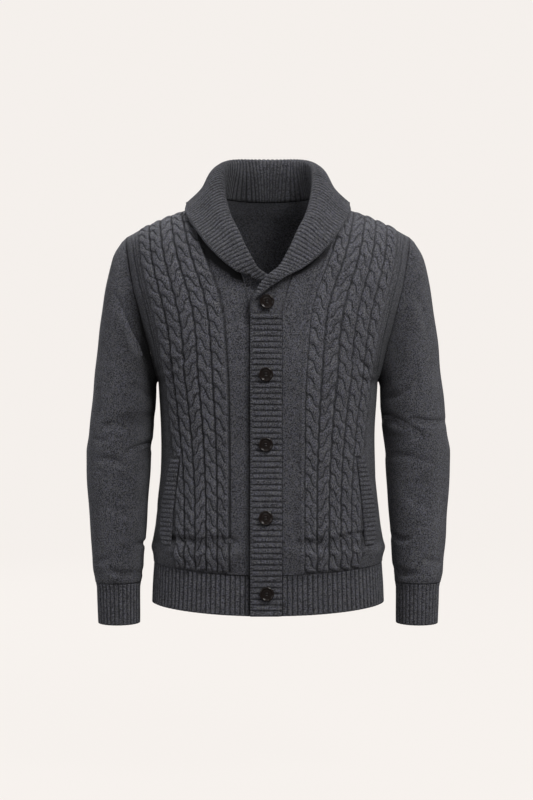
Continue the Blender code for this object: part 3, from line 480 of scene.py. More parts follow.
def row_at(columns, q):
    """One row of a torso table; the edge turns at the armpit from side seam to armhole."""
    marks = np.arange(len(columns["z_mid"]))
    row = {}
    for name, values in columns.items():
        part = slice(ARMPIT, None) if name.endswith("_side") and q >= ARMPIT else slice(None)
        row[name] = float(smooth(marks[part], values[part], q))
    return row


def lay(row, x, side, top_y, top_z):
    """Points of a row at distances x from the middle; side is -1 front, +1 back."""
    edge = abs(row["y_side"]) / row["depth"]
    half = row["x_side"] / (1 - edge ** BULGE) ** (1 / BULGE)
    frac = x / row["x_side"]
    y = section(x, half, row["depth"]) * (1 - row["top"]) + top_y * row["top"]
    z = row["z_mid"] + (row["z_side"] - row["z_mid"]) * frac ** 2
    z = z * (1 - row["top"]) + top_z * row["top"]
    end = np.argmax(x)
    y = y + (abs(row["y_side"]) - y[end]) * frac ** 4
    z = z + (row["z_side"] - z[end]) * frac ** 4
    return xyz(x, side * y, z)


def evenly(points, x, knots, counts):
    """Distances from the middle, evenly spaced along the cloth between knots."""
    run = lengths(points)
    at = np.interp([-k for k in knots], -x, run)
    marks = [np.linspace(at[k], at[k + 1], n + 1)[:-1] for k, n in enumerate(counts)]
    marks = np.concatenate(marks + [[at[-1]]])
    return np.interp(marks, run, x)


def front_points(q, hand, counts=CAD_COUNTS):
    """One row of the front from the side to the band, on one hand (+1 wearer's left)."""
    row = row_at(FRONT, q)
    x = np.linspace(row["x_side"], row["x_neck"], 240)
    dense = lay(row, x, -1, np.zeros_like(x), shoulder_z(x))
    knots = (row["x_side"], row["x_cable"], row["x_plain"], row["x_neck"])
    x = evenly(dense, x, knots, counts)
    points = lay(row, x, -1, np.zeros_like(x), shoulder_z(x))
    fade = min(1.0, (TOP - q) / (TOP - BREAK))
    points[:, 0] = hand * points[:, 0] + shift(points[:, 0]) * fade
    return points


def back_points(q, counts=(5, 5)):
    """One row of the back from side to side."""
    row = row_at(BACK, q)
    x = np.linspace(row["x_side"], 0, 300)

    def top(x):
        in_neck = np.clip(1 - (x / NECK_X) ** 2.3, 0, 1) ** (1 / 2.3)
        top_z = np.where(x > NECK_X, shoulder_z(x),
                         NECK_Z + (BACK_NECK[1] - NECK_Z) * in_neck)
        return BACK_NECK[0] * in_neck, top_z

    dense = lay(row, x, 1, *top(x))
    x = evenly(dense, x, (row["x_side"], row["x_neck"], 0.0), counts)
    half = lay(row, x, 1, *top(x))
    return np.concatenate([half * (-1, 1, 1), half[-2::-1]])


def way(path, start, end):
    """Row numbers along a part of a path, with the path's running length."""
    q = np.linspace(start, end, 160)
    return q, lengths(np.array([path(v) for v in q]))


def row_marks(path, parts):
    """Row numbers evenly spaced along a path, part by part."""
    marks = []
    for start, end, count in parts:
        q, run = way(path, start, end)
        marks.append(np.interp(np.linspace(0, run[-1], count + 1)[:-1], run, q))
    return np.concatenate(marks + [[parts[-1][1]]])


def front_path(q):
    """The point of a row between two cables, whose way up spaces the crossings."""
    return front_points(q, 1)[9]


FRONT_PARTS = tuple((a, b, int(round(way(front_path, a, b)[1][-1] / (PITCH / 2))))
                    for a, b in ((0, ARMPIT), (ARMPIT, BREAK), (BREAK, TOP)))
FRONT_Q = row_marks(front_path, FRONT_PARTS)
PIT_ROW = FRONT_PARTS[0][2]
BREAK_ROW = PIT_ROW + FRONT_PARTS[1][2]
BACK_Q = row_marks(lambda v: back_points(v)[4], ((0, ARMPIT, BACK_PIT), (ARMPIT, BACK_TOP, 12)))
LOOP_MID = np.array([(TIP[0] + PIT[0]) / 2, 4.0, (TIP[1] + PIT[1]) / 2])


def rim_dirs(points, normals, hand):
    """Directions in which the armhole rim is cut: towards the middle of the loop."""
    inward = unit(LOOP_MID * (hand, 1, 1) - points)
    return unit(inward - 0.8 * normals)


def torso_normals(grid, side):
    """Outward normals of a torso panel (side -1 front, +1 back)."""
    normals = grid_normals(grid)
    probe = normals[3, grid.shape[1] // 2]
    return normals * (1 if probe[1] * side > 0 else -1)


SHOULDER_N = unit(np.array([NECK_Z - TIP[1], 0, TIP[0] - NECK_X]))


def square_edges(grid, normals, side, pit, ends):
    """Square up a panel's edges so that neighbours meet face to face."""
    normals[0, :, 2] = 0
    normals[0] = unit(normals[0])
    for col, hand in ends.items():
        grid[:pit + 1, col, 1] = side * SEAM / 2
        normals[:pit + 1, col] = (hand, 0, 0)
        normals[pit:, col] = -rim_dirs(grid[pit:, col], normals[pit:, col], hand)


def panel_grid(path, rows, step, side):
    """Rows of a panel, step to each one of the CAD, with their marks and normals."""
    marks = np.linspace(0, len(rows) - 1, step * (len(rows) - 1) + 1)
    grid = np.array([path(q) for q in np.interp(marks, np.arange(len(rows)), rows)])
    return marks, grid, torso_normals(grid, side)


def front_grid(hand, step, counts):
    """Grid and normals of a front, with step rows for each one of the CAD."""
    marks, grid, normals = panel_grid(lambda q: front_points(q, hand, counts), FRONT_Q, step, -1)
    free = normals.copy()
    square_edges(grid, normals, -1, PIT_ROW * step, {0: hand})
    grid[:BREAK_ROW * step + 1, -1, 0] = BAND_MID + hand * (BAND_HALF + SEAM / 2)
    normals[:BREAK_ROW * step + 1, -1] = (0, -1, 0)
    grid[-1, :, 1] = -SEAM / 2
    normals[-1] = SHOULDER_N * (hand, 1, 1)
    normals[-1, 0] = -rim_dirs(grid[-1:, 0], normals[-1:, 0], hand)[0]
    return {"grid": grid, "normals": normals, "free": free, "rows": marks}


def back_grid(step, counts):
    """Grid and normals of the back, with step rows for each one of the CAD."""
    marks, grid, normals = panel_grid(lambda q: back_points(q, counts), BACK_Q, step, 1)
    free = normals.copy()
    last = grid.shape[1] - 1
    square_edges(grid, normals, 1, BACK_PIT * step, {0: -1, last: 1})
    on_shoulder = np.abs(grid[-1, :, 0]) > NECK_X - 0.5
    grid[-1, on_shoulder, 1] = SEAM / 2
    normals[-1, on_shoulder] = unit(SHOULDER_N * xyz(np.sign(grid[-1, on_shoulder, 0]), 1, 1))
    for _ in range(3):
        soft = unit(normals[-1, :-2] + 2 * normals[-1, 1:-1] + normals[-1, 2:])
        inside = ~on_shoulder[1:-1]
        normals[-1, 1:-1][inside] = soft[inside]
    for col, hand in ((0, -1), (last, 1)):
        normals[-1, col] = -rim_dirs(grid[-1:, col], normals[-1:, col], hand)[0]
    return {"grid": grid, "normals": normals, "free": free, "rows": marks}


def lined(panel, stretches, cols):
    """A panel with the inner face of the CAD, on some of its rows and columns.

    A stretch is the first row, the row that ends it and the step between kept rows."""
    last = len(panel["grid"]) - 1
    keep = [row for start, end, step in stretches for row in range(start, end or last, step)]
    panel["keep"] = keep + [last]
    panel["inner"] = (panel["grid"] - WALL * panel["normals"])[panel["keep"]][:, cols]
    return panel


def cad_front(hand):
    stretches = ((0, PIT_ROW, 4), (PIT_ROW, BREAK_ROW, 2), (BREAK_ROW, None, 2))
    return lined(front_grid(hand, 1, CAD_COUNTS), stretches, [0, 2, 7, 12, 17, 19])


def cad_back():
    stretches = ((0, BACK_PIT, 2), (BACK_PIT, None, 2))
    return lined(back_grid(1, (5, 5)), stretches, [0, 3, *range(5, 16), 17, 20])


def inner_at_rows(panel, edge):
    """Inner edge points of a panel at every one of its rows."""
    keep, inner = panel["keep"], panel["inner"][:, edge]
    rows = np.arange(len(panel["grid"]))
    return at_lengths(rows, keep, inner)


def edge_distance(grid, closed=False):
    """Distance of each point from the nearest of a panel's four edges, in millimetres."""
    up = run_across(grid.swapaxes(0, 1)).T
    near = np.minimum(up, up[-1] - up)
    if closed:
        return near
    across = run_across(grid)
    return np.minimum(near, np.minimum(across, across[:, -1:] - across))


def seam_dip(distance, depth=SEAM_DIP):
    """How far the cloth rolls in towards a seam."""
    return -depth * bell(distance, SEAM_REACH)


def troughs(points, table_rows, side):
    """Soft folds: troughs with raised lips along short arcs in the front or back view.

    A row is x0, z0, x1, z1, sag at the middle, half width and depth; side picks the face."""
    out = np.zeros(points.shape[:-1])
    facing = ease(side * points[..., 1] / 18.0 + 0.5)
    for x0, z0, x1, z1, sag, width, depth in table_rows:
        along = np.array([x1 - x0, z1 - z0], float)
        size = np.linalg.norm(along)
        along /= size
        rel = np.stack([points[..., 0] - x0, points[..., 2] - z0], axis=-1)
        t = rel @ along / size
        part = np.clip(t, 0, 1)
        off = rel @ np.array([-along[1], along[0]]) + sag * 4 * part * (1 - part)
        ends = window(t, -0.18, 1.18, 0.4, 0.4)
        reach = np.abs(off) / width
        out -= depth * ends * facing * (1 - 0.75 * reach ** 2) * bell(reach, 1)
    return out


def cable_relief(across, up, twist):
    """Height and stitch places of one rope cable, two strands wound round each other.

    across runs from 0 to 1 over the cable's width and up counts crossings."""
    phase = np.pi * (up - 0.5 * (twist < 0) - 0.25)
    lean = np.hypot(1, 0.75 * np.cos(phase))    # a leaning strand is cut wider
    tops, place = [], np.zeros(across.shape)
    for strand in (0.0, np.pi):
        over = np.cos(phase + strand)           # 1 where this strand crosses on top, -1 below
        swing = np.tanh(CROSS * np.sin(phase + strand)) / np.tanh(CROSS)
        off = (across - 0.5 - twist * SWING * swing) / (STRAND * (1 + 0.1 * over) * lean)
        height = STRAND_H * np.clip(1 - off ** 2, 0, 1) ** 0.7 + LIFT * over
        height = np.where(np.abs(off) < 1, height, -9.0)
        place = np.where(height > (tops[0] if tops else -9.0), off * STITCH[0] * 1.5, place)
        tops.append(height)
    best, below = np.maximum(*tops), np.minimum(*tops)
    best = best - CREASE * bell(best - below, 0.5)
    in_strand = best > BESIDE
    wall = ease(np.minimum(across, 1 - across) / GUTTER_WIDE)
    height = -GUTTER + (np.maximum(best, BESIDE) + GUTTER) * wall
    return height, np.where(in_strand, place, np.nan)


def cavity(height, reach):
    """How far each point stands above or lies below the cloth close round it."""
    mean = height
    for _ in range(reach):
        sides = np.pad(mean, ((0, 0), (1, 1)), mode="edge")
        mean = 0.5 * mean + 0.25 * (sides[:, 2:] + sides[:, :-2])
        ends = np.pad(mean, ((1, 1), (0, 0)), mode="edge")
        mean = 0.5 * mean + 0.25 * (ends[2:] + ends[:-2])
    return height - mean


def shoulder_rise(points):
    """How much fuller the shoulder stands above the straight line of its seam."""
    x = np.abs(points[..., 0])
    near = ease(1 - (shoulder_z(x) - points[..., 2]) / 60)
    return SHOULDER_RISE * window(x, 128, 236, 40, 34) * near


# which way each rope turns, from the armhole inwards, on the wearer's right and left
CABLE_TWISTS = {-1: (-1, -1, 1, -1, -1), 1: (1, 1, 1, -1, 1)}


def under_welt(grid):
    """1 where a point of the front lies under its pocket welt, fading over a few mm."""
    welt = table(WELT_COLS, WELT_ROWS[::-1])
    x, z = np.abs(grid[..., 0]), grid[..., 2]
    outer = smooth(welt["z"], welt["x_out"], z) + 3
    inner = smooth(welt["z"], welt["x_in"], z) - 4
    high = window(z, WELT_ROWS[-1][0] - 7, WELT_ROWS[0][0] + 6, 4, 4)
    return window(x, inner, outer, 3, 3) * high


BAND_EDGE = -32.0    # x just outside the free edge of the buttonhole band
BAND_SHADE = 0.5     # depth of the shade beside it
# reach of the painted shadow in the hollow below a lapel, and higher up
HOLLOW = {-1: (14.0, 9.0), 1: (10.5, 7.0)}
FRONT_FOLDS = {
    # wearer's right, on the viewer's left
    -1: ((-178, -286, -128, -262, 4, 9, 1.6), (-176, -300, -140, -292, 3, 8, 1.3),
         (-168, -552, -108, -558, 3, 7, 3.4), (-96, -556, -48, -560, -3, 7, 2.6),
         (-180, -520, -160, -470, 4, 9, 1.0), (-60, -430, -36, -372, 3, 10, 0.9)),
    1: ((176, -288, 132, -262, -4, 9, 1.6), (176, -306, 146, -294, -3, 8, 1.2),
        (166, -550, 104, -558, 3, 7, 3.4), (88, -556, 44, -560, -3, 7, 2.4),
        (178, -500, 164, -452, 4, 9, 1.0), (56, -470, 30, -410, 3, 10, 0.9)),
}
BACK_FOLDS = (
    (-178, -282, -110, -256, 4, 10, 2.0), (178, -284, 118, -262, -4, 10, 1.8),
    (-176, -306, -130, -300, 3, 8, 1.4), (174, -304, 136, -296, 3, 9, 1.5),
    (-120, -566, -60, -572, 4, 11, 1.8), (30, -570, 100, -564, 4, 11, 1.7),
    (-60, -420, 20, -408, 5, 14, 1.6), (-20, -470, 60, -482, 5, 14, 1.4),
    (-70, -60, -20, -46, 3, 12, 1.2), (70, -62, 26, -48, 3, 12, 1.1),
    (150, -470, 172, -400, 5, 12, 1.2), (-152, -460, -170, -390, 5, 12, 1.3),
)


def gathers(points, floor_z, reach, seed):
    """Small upright gathers where the body is drawn in by the rib below it."""
    near = bell(points[..., 2] - floor_z, reach)
    x = points[..., 0] + 0.35 * points[..., 1]
    return near * (0.55 * np.sin(x / 6.1 + seed) + 0.45 * np.sin(x / 9.7 + 2.3 * seed))


def armhole_ribs(to_cable, marks):
    """Thin valleys between the single wales that stand beside the armhole."""
    out = -1.2 * bell(to_cable - 1.6, 1.3)
    above = ease((marks[:, None] - PIT_ROW) / 3)
    for place in (8.5, 15.5):
        out -= 1.5 * above * bell(to_cable - place, 1.2)
    return out


# z, x and strength of the hollow between body and sleeve; strength and reach of its shades
GAP = ((-62, 235, 0.0), (-140, 220, 0.2), (-190, 209, 0.65), (-250, 196, 1.0), (-304, 184, 1.0),
       (-380, 184, 0.9), (-450, 189, 0.7), (-520, 196, 0.45), (-600, 200, 0.3), (-680, 204, 0.1))
GAP_SHADE = {-1: ((0.65, 11), (0.34, 46)), 1: ((0.65, 9), (0.10, 30))}
GAP_SHIFT = {-1: 0.0, 1: -7.0}


def gap_shade(points, hand):
    """Shade in the narrow hollow between the body and a sleeve, and up the armhole."""
    z, x, strength = (np.array(c, float) for c in zip(*GAP[::-1]))
    off = np.abs(points[..., 0]) - np.interp(points[..., 2], z, x) - GAP_SHIFT[hand] * ease(
        (points[..., 2] + 340) / 60)
    near = sum(size * bell(off, reach) for size, reach in GAP_SHADE[hand])
    return near * np.interp(points[..., 2], z, strength)


def front_tone(points):
    """Light and shade down a front: chest, belly, the fold and puff above the rib."""
    tone = np.interp(-points[..., 2], (0, 110, 170, 260, 340, 480, 600),
                     (0.0, 0.06, 0.15, 0.13, 0.0, -0.06, -0.03))
    side = ease((np.abs(points[..., 0]) - 40) / 30)
    for z, reach, size in ((-559, 8, -0.3), (-582, 8, 0.12), (-607, 6, -0.3)):
        tone += size * side * bell(points[..., 2] - z, reach)
    return tone


def band_shade(points):
    """Shade along the free edge of the buttonhole band, on the cloth below it."""
    return BAND_SHADE * bell(points[..., 0] - BAND_EDGE, 4.5)


NOTCH = ((-56.0, -137.0), (-11.0, -152.0))   # the hollow below the under lapel, down to its notch


def notch_shade(points):
    """Shade along the hollow that runs below the under lapel to its notch."""
    start, end = np.array(NOTCH)
    rel = points[..., [0, 2]] - start
    share = np.clip(rel @ (end - start) / np.sum((end - start) ** 2), 0, 1)
    off = np.linalg.norm(rel - share[..., None] * (end - start), axis=-1)
    return 0.55 * bell(off, 4.5)


def lapel_shadow(points, edge, hand):
    """Painted shadow below the collar's edge: 1 at the line below it, fading over the hollow
    beside it.
    """
    edge = edge[edge[:, 2] > BREAK_Z + 12]
    tree = KDTree(len(edge))
    for k, place in enumerate(edge):
        tree.insert(place, k)
    tree.balance()
    near = np.array([tree.find(p)[2] for p in points.reshape(-1, 3)]).reshape(points.shape[:2])
    reach = np.interp(points[..., 2], (-115, -50), HOLLOW[hand])
    return 0.95 * ease((reach - near) / 6) + 0.05 * ease(1 - near / (3 * reach))


# seam allowance of a front or hem behind its band: x at the seam, x at its end, depth
ALLOWANCE = {1: (BAND_MID + BAND_HALF + SEAM / 2, 12.5, 2.95),
             -1: (BAND_MID - BAND_HALF - SEAM / 2, -21.5, 4.55)}
ALLOWANCE_WALL = 1.0    # its thickness


def allowance(edge, inner, hand):
    """Two columns of the outer face and the last of the inner one, laid behind the band."""
    seam_x, end_x, deep = ALLOWANCE[hand]

    def behind(points, x, extra=0.0):
        z = points[:, 2]
        y = smooth(BAND_Z, BAND_Y, np.clip(z, BAND_Z[0], BAND_Z[-1])) + deep + extra
        return xyz(x, y, z)

    def share(points):
        return ease((BREAK_Z - 4 - points[:, 2:]) / 6)

    order = np.argsort(inner[:, 2])
    across = at_lengths(edge[:, 2], inner[order, 2], inner[order]) - edge
    w = share(edge)
    turn = (edge + across / 3) * (1 - w) + behind(edge, seam_x) * w
    end = (edge + 2 * across / 3) * (1 - w) + behind(edge, end_x) * w
    w = share(inner)
    return turn, end, inner * (1 - w) + behind(inner, end_x, ALLOWANCE_WALL) * w


def dressed(panel, cad, height, bend):
    """Outer face of a torso panel with its relief and folds, and its inner face."""
    grid = panel["grid"]
    shape = grid + panel["free"] * (height + bend)[..., None]
    shape[:, 0], shape[:, -1] = grid[:, 0], grid[:, -1]
    shape[0], shape[-1] = grid[0], grid[-1]
    shape[..., 2] += shoulder_rise(grid)
    lining = cad["inner"].copy()
    lining[..., 2] += shoulder_rise(lining)
    return shape, lining


def front_piece(hand, cad, collar_edge):
    """One front with its five rope cables."""
    panel = front_grid(hand, ROW_FINE, FINE_COUNTS)
    grid, marks = panel["grid"], panel["rows"]
    rows, cols = grid.shape[:2]
    across = run_across(grid)
    places = np.stack([across[:, -1:] - across, np.broadcast_to(
        marks[:, None] * PITCH / 2, (rows, cols))], axis=-1)
    height = np.zeros((rows, cols))
    size = (rows, CABLE_FINE + 1)
    crossing = np.broadcast_to(marks[:, None] / 2, size)
    share = np.broadcast_to(np.linspace(0, 1, CABLE_FINE + 1), size)
    for c, twist in enumerate(CABLE_TWISTS[hand]):
        start = SIDE_FINE + c * CABLE_FINE
        strip = slice(start, start + CABLE_FINE + 1)
        relief, place = cable_relief(share, crossing, twist)
        height[:, strip] = np.maximum(relief, np.where(np.isin(share, (0, 1)), height[:, strip],
                                                       -9))
        on = ~np.isnan(place)
        places[:, strip, 0][on] = place[on]
    plain_from = SIDE_FINE + CABLES * CABLE_FINE
    line = across[:, plain_from:plain_from + 1] - across
    wale = 1.4 * bell(line + 2.8, 1.7)
    edge_ridge = wale if hand > 0 else (1.0 * bell(line - 3.0, 2.6)
                                        - 1.6 * bell(line + 1.4, 1.2))
    side_ridge = armhole_ribs(across[:, SIDE_FINE:SIDE_FINE + 1] - across, marks)
    calm = window(marks, 0, marks[-1], 0.6, 1.2)[:, None] * (1 - under_welt(grid))
    height = (height + edge_ridge + side_ridge) * calm
    distance = edge_distance(grid)
    height += seam_dip(distance, 0.1)
    inside = ease(distance / 9)
    bend = 1.4 * troughs(grid, FRONT_FOLDS[hand], -1) + 0.8 * drift(grid, 3 + hand)
    bend += 2.0 * gathers(grid, -584, 14, 1.0 + hand)
    bend += 2.4 * bell(grid[..., 2] + 578, 9)
    shape, lining = dressed(panel, cad, height, bend * inside)
    # painted light and shade: darker in the cables' creases and gutters, lighter on the strands'
    # crests, plus the painted light and shade of front_tone
    relief = np.clip(cavity(height, 12) / 1.9, -0.7, 0.3) + front_tone(grid)
    # painted shadow below the collar's edge and painted shade in the hollow by the sleeve
    relief -= lapel_shadow(grid, collar_edge, hand) + gap_shade(grid, hand)
    if hand > 0:
        # painted light on the wale beside the plain strip
        relief += 0.12 * wale
    else:
        # painted shade: the wearer's right front a little darker all over, with painted shadow
        # beside the band's free edge and below the under lapel
        relief -= 0.05 + band_shade(grid) + notch_shade(grid)
    turn, end, lining[:, -1] = allowance(shape[:, -1], lining[:, -1].copy(), hand)
    shape = np.concatenate([shape, turn[:, None], end[:, None]], axis=1)
    places = np.pad(places, ((0, 0), (0, 2), (0, 0)), mode="edge")
    relief = np.pad(relief, ((0, 0), (0, 2)), mode="edge")
    # painted shade on the seam allowance that lies behind the band
    relief[:, -2:] = -0.5
    return Shell(shape, places, relief, lining, 0.0)


def back_piece(cad):
    """The plain back."""
    panel = back_grid(8, (40, 34))
    grid = panel["grid"]
    across = run_across(grid)
    middle = across[:, grid.shape[1] // 2][:, None]
    up = lengths(grid[:, 60])
    places = np.stack([across - middle, np.broadcast_to(up[:, None], across.shape)], axis=-1)
    distance = edge_distance(grid)
    height = seam_dip(distance)
    bend = 1.6 * troughs(grid, BACK_FOLDS, 1) + 1.4 * drift(grid, 1)
    bend += 1.3 * gathers(grid, -588, 15, 2.0)
    shape, lining = dressed(panel, cad, height, bend * ease(distance / 14))
    # painted shade inside the neck: the lining is darker there, more so towards the wearer's right
    # (x < 0) and along its top edge
    in_neck = ease((lining[..., 2] + 190) / 80)
    tone = in_neck * (0.3 * ease((lining[..., 0] + 5) / 60) - 0.38)
    tone = tone - 0.3 * ease((lining[..., 2] + 10) / 8)
    # painted shade along the seams, where the cloth dips in
    return Shell(shape, places, np.clip(height, -0.6, 0), lining, tone)


# ---------------------------------------------------------------- sleeves and cuffs

FOLD_DEPTH = 1.6        # all the sleeves' folds are this much deeper than their tables say
SLEEVE_FOLDS = {
    # wearer's right (x < 0), then left: front view, then the same table for the back
    (-1, -1): ((-268, -376, -232, -381, -2, 7, 2.6), (-186, -408, -232, -424, 3, 9, 2.8),
               (-186, -362, -250, -368, 3, 11, 1.8),
               (-284, -398, -258, -397, 2, 6, 1.6), (-276, -431, -231, -441, -3, 8, 2.6),
               (-252, -164, -202, -266, 2, 9, 3.6), (-214, -568, -200, -570, 2, 6, 2.4),
               (-258, -610, -208, -618, 4, 8, 2.6), (-286, -596, -256, -590, 3, 7, 1.4),
               (-196, -330, -226, -310, 4, 9, 1.8), (-262, -500, -226, -520, 4, 12, 1.4)),
    (1, -1): ((233, -366, 291, -370, 3, 7, 3.2), (182, -358, 250, -396, -3, 10, 3.2),
              (196, -424, 268, -438, -4, 8, 1.2), (204, -558, 231, -560, 3, 7, 2.2),
              (208, -611, 244, -616, 4, 8, 2.6), (250, -590, 284, -598, 3, 7, 1.4),
              (240, -160, 262, -226, -4, 10, 2.0), (196, -332, 228, -312, 4, 9, 1.8),
              (226, -484, 262, -508, 4, 12, 1.3)),
    (-1, 1): ((-292, -392, -236, -404, 4, 8, 3.0), (-206, -420, -262, -432, 4, 7, 3.0),
              (-296, -448, -250, -456, 3, 7, 2.0), (-200, -300, -250, -330, 5, 11, 2.2),
              (-290, -600, -230, -612, 4, 8, 2.4), (-262, -180, -240, -250, 4, 11, 1.6),
              (-250, -520, -214, -536, 4, 11, 1.6)),
    (1, 1): ((292, -386, 232, -400, 4, 8, 3.0), (202, -412, 258, -428, 4, 7, 3.2),
             (298, -440, 252, -452, 3, 7, 2.0), (198, -304, 252, -336, 5, 11, 2.0),
             (288, -602, 226, -610, 4, 8, 2.4), (264, -176, 242, -256, 4, 11, 1.6),
             (248, -528, 212, -540, 4, 11, 1.5)),
}


SLEEVE_SHADES = {      # x, z, reach across and up, strength
    -1: ((-218, -366, 34, 9, 0.3), (-191, -416, 16, 18, 0.55), (-194, -392, 14, 7, -0.15),
         (-226, -214, 12, 34, 0.12), (-196, -250, 9, 50, 0.4)),
    1: ((217, -388, 24, 9, 0.45), (190, -374, 14, 18, 0.5), (262, -366, 16, 8, 0.15),
        (200, -414, 14, 7, -0.12)),
}


def sleeve_shade(points, hand):
    """Painted shade that gathers in a sleeve's main folds, on its front, and painted light on a
    few ridges between them where the strength is below nought.
    """
    facing = ease(-points[..., 1] / 18.0 + 0.5)
    out = np.zeros(points.shape[:-1])
    for x, z, wide, tall, strength in SLEEVE_SHADES[hand]:
        out += strength * bell(points[..., 0] - x, wide) * bell(points[..., 2] - z, tall)
    return out * facing


def ring_axis(outer, inner):
    """Middle, half axis and upright direction of a sleeve's ring, from its two ends."""
    mid, axis = (outer + inner) / 2, (outer - inner) / 2
    across = np.array([-axis[2], 0, axis[0]]) / np.linalg.norm(axis)
    return mid, axis, across * math.copysign(1, across[0])


def sleeve_rings(front, back, hand, around, step):
    """Rows of points from the armhole to the cuff seam, mirrored to the wearer's left."""
    rings, last = table(SLEEVE_COLS, SLEEVE_ROWS), len(SLEEVE_ROWS) - 1
    flip = np.array([hand, 1, 1])
    f_edge = front["grid"][front["pit"]:, 0][::-1]
    b_edge = back["grid"][back["pit"]:, 0 if hand < 0 else -1]
    loop = np.concatenate([f_edge, b_edge[1:-1]]) * flip
    loop[[0, len(f_edge) - 1], 1] = 0
    pit = np.array([PIT[0], 0, PIT[1]])
    mid, axis, across = ring_axis(np.array([TIP[0], 0, TIP[1]]), pit)
    split = int(np.argmin(np.linalg.norm(loop - pit, axis=1)))
    whole = np.concatenate([loop, loop[:1]])
    run = lengths(whole)
    share = np.where(np.arange(len(whole)) <= split, 0.5 * run / run[split],
                     0.5 + 0.5 * (run - run[split]) / (run[-1] - run[split]))
    s = np.arange(around) / around
    rel = whole - mid
    along_a = np.interp(s, share, rel @ axis / (axis @ axis))
    depth = np.interp(s, share, rel[:, 1])
    lift = np.interp(s, share, rel @ across)
    loop_ring = at_lengths(s, share, whole)
    inward = unit(mid - loop_ring)
    tangent = np.roll(loop_ring, -1, axis=0) - np.roll(loop_ring, 1, axis=0)
    out = unit(np.cross(tangent, inward))
    out *= np.sign(out[:, :1])
    loop_ring = loop_ring + SEAM * out

    def ring(k):
        row = {n: float(smooth(np.arange(last + 1), v, k)) for n, v in rings.items()}
        w = row["round"]
        a = (1 - w) * along_a + w * np.cos(2 * math.pi * s)
        y = ((1 - w) * (depth - 4) / 56 - w * np.sin(2 * math.pi * s)) * row["half"]
        centre, arm, upright = ring_axis(np.array([row["xo"], 0, row["zo"]]),
                                         np.array([row["xi"], 0, row["zi"]]))
        pts = centre + a[:, None] * arm + ((1 - w) * lift)[:, None] * upright
        pts[:, 1] = row["mid"] + y
        return pts

    fine = np.linspace(0, last, 400)
    run = lengths(np.array([ring(k)[around // 4] for k in fine]))
    marks = np.interp(np.linspace(0, run[-1], int(run[-1] / step) + 1), run, fine)
    grid = [ring(k) for k in marks]
    bridge = [loop_ring * (1 - f) + grid[0] * f for f in (0.0, 0.35, 0.7)]
    return np.array(bridge + grid)


def sleeve_normals(grid):
    normals = grid_normals(grid, True)
    centre = grid.mean(axis=1, keepdims=True)
    normals *= np.sign(np.sum(normals * (grid - centre), axis=2).mean())
    normals[-1, :, 2] = 0
    return unit(normals)


def sleeve_piece(front, back, hand):
    """A sleeve from the armhole to the cuff seam."""
    flip = np.array([hand, 1, 1])
    around = 150
    grid = sleeve_rings(front, back, hand, around, 3.0)
    normals = sleeve_normals(grid)
    world = grid * flip
    turn = np.arange(around) / around
    turn = np.where(turn < 0.5, turn, turn - 1)
    girth = run_across(np.concatenate([grid, grid[:, :1]], axis=1))[:, -1]
    up = lengths(grid[:, around // 4])
    places = np.stack([turn[None] * girth[:, None],
                       np.broadcast_to(-up[:, None], grid.shape[:2])], axis=-1)
    distance = edge_distance(grid, True)
    under = np.abs(np.abs(turn) - 0.5)[None] * girth[:, None]
    height = seam_dip(distance, 0.25) + seam_dip(under)
    bend = FOLD_DEPTH * (troughs(world, SLEEVE_FOLDS[(hand, -1)], -1)
                         + troughs(world, SLEEVE_FOLDS[(hand, 1)], 1))
    bend += 1.2 * drift(world, 5 + hand, 48) + 1.6 * gathers(world, -624, 13, 3.0 + hand)
    inside = ease(distance / 12)
    shape = grid + normals * (height + bend * inside)[..., None]
    shape[0], shape[-1] = grid[0], grid[-1]
    coarse = grid[::4]
    coarse = np.concatenate([coarse, grid[-1:]]) if (len(grid) - 1) % 4 else coarse
    n_in = sleeve_normals(coarse)
    inner = coarse - WALL * n_in
    inner[0] = grid[0] + WALL * unit(LOOP_MID - grid[0])
    inner = inner[:, ::4]
    # painted shade along the seams, in the hollow by the body and in the folds
    tone = np.clip(height, -0.6, 0) - gap_shade(world, hand) - sleeve_shade(world, hand)
    if hand > 0:
        # painted light on the lower part of the left sleeve
        tone += 0.13 * ease((-430 - world[..., 2]) / 80)
    return Shell(shape * flip, places, tone, inner * flip, 0.0, True, inner[..., ::2])


def rib_ends(marks):
    """1 along a rib, fading to 0 at its two ends; marks run from 0 to 1."""
    return window(marks, 0, 1, 0.04, 0.03)


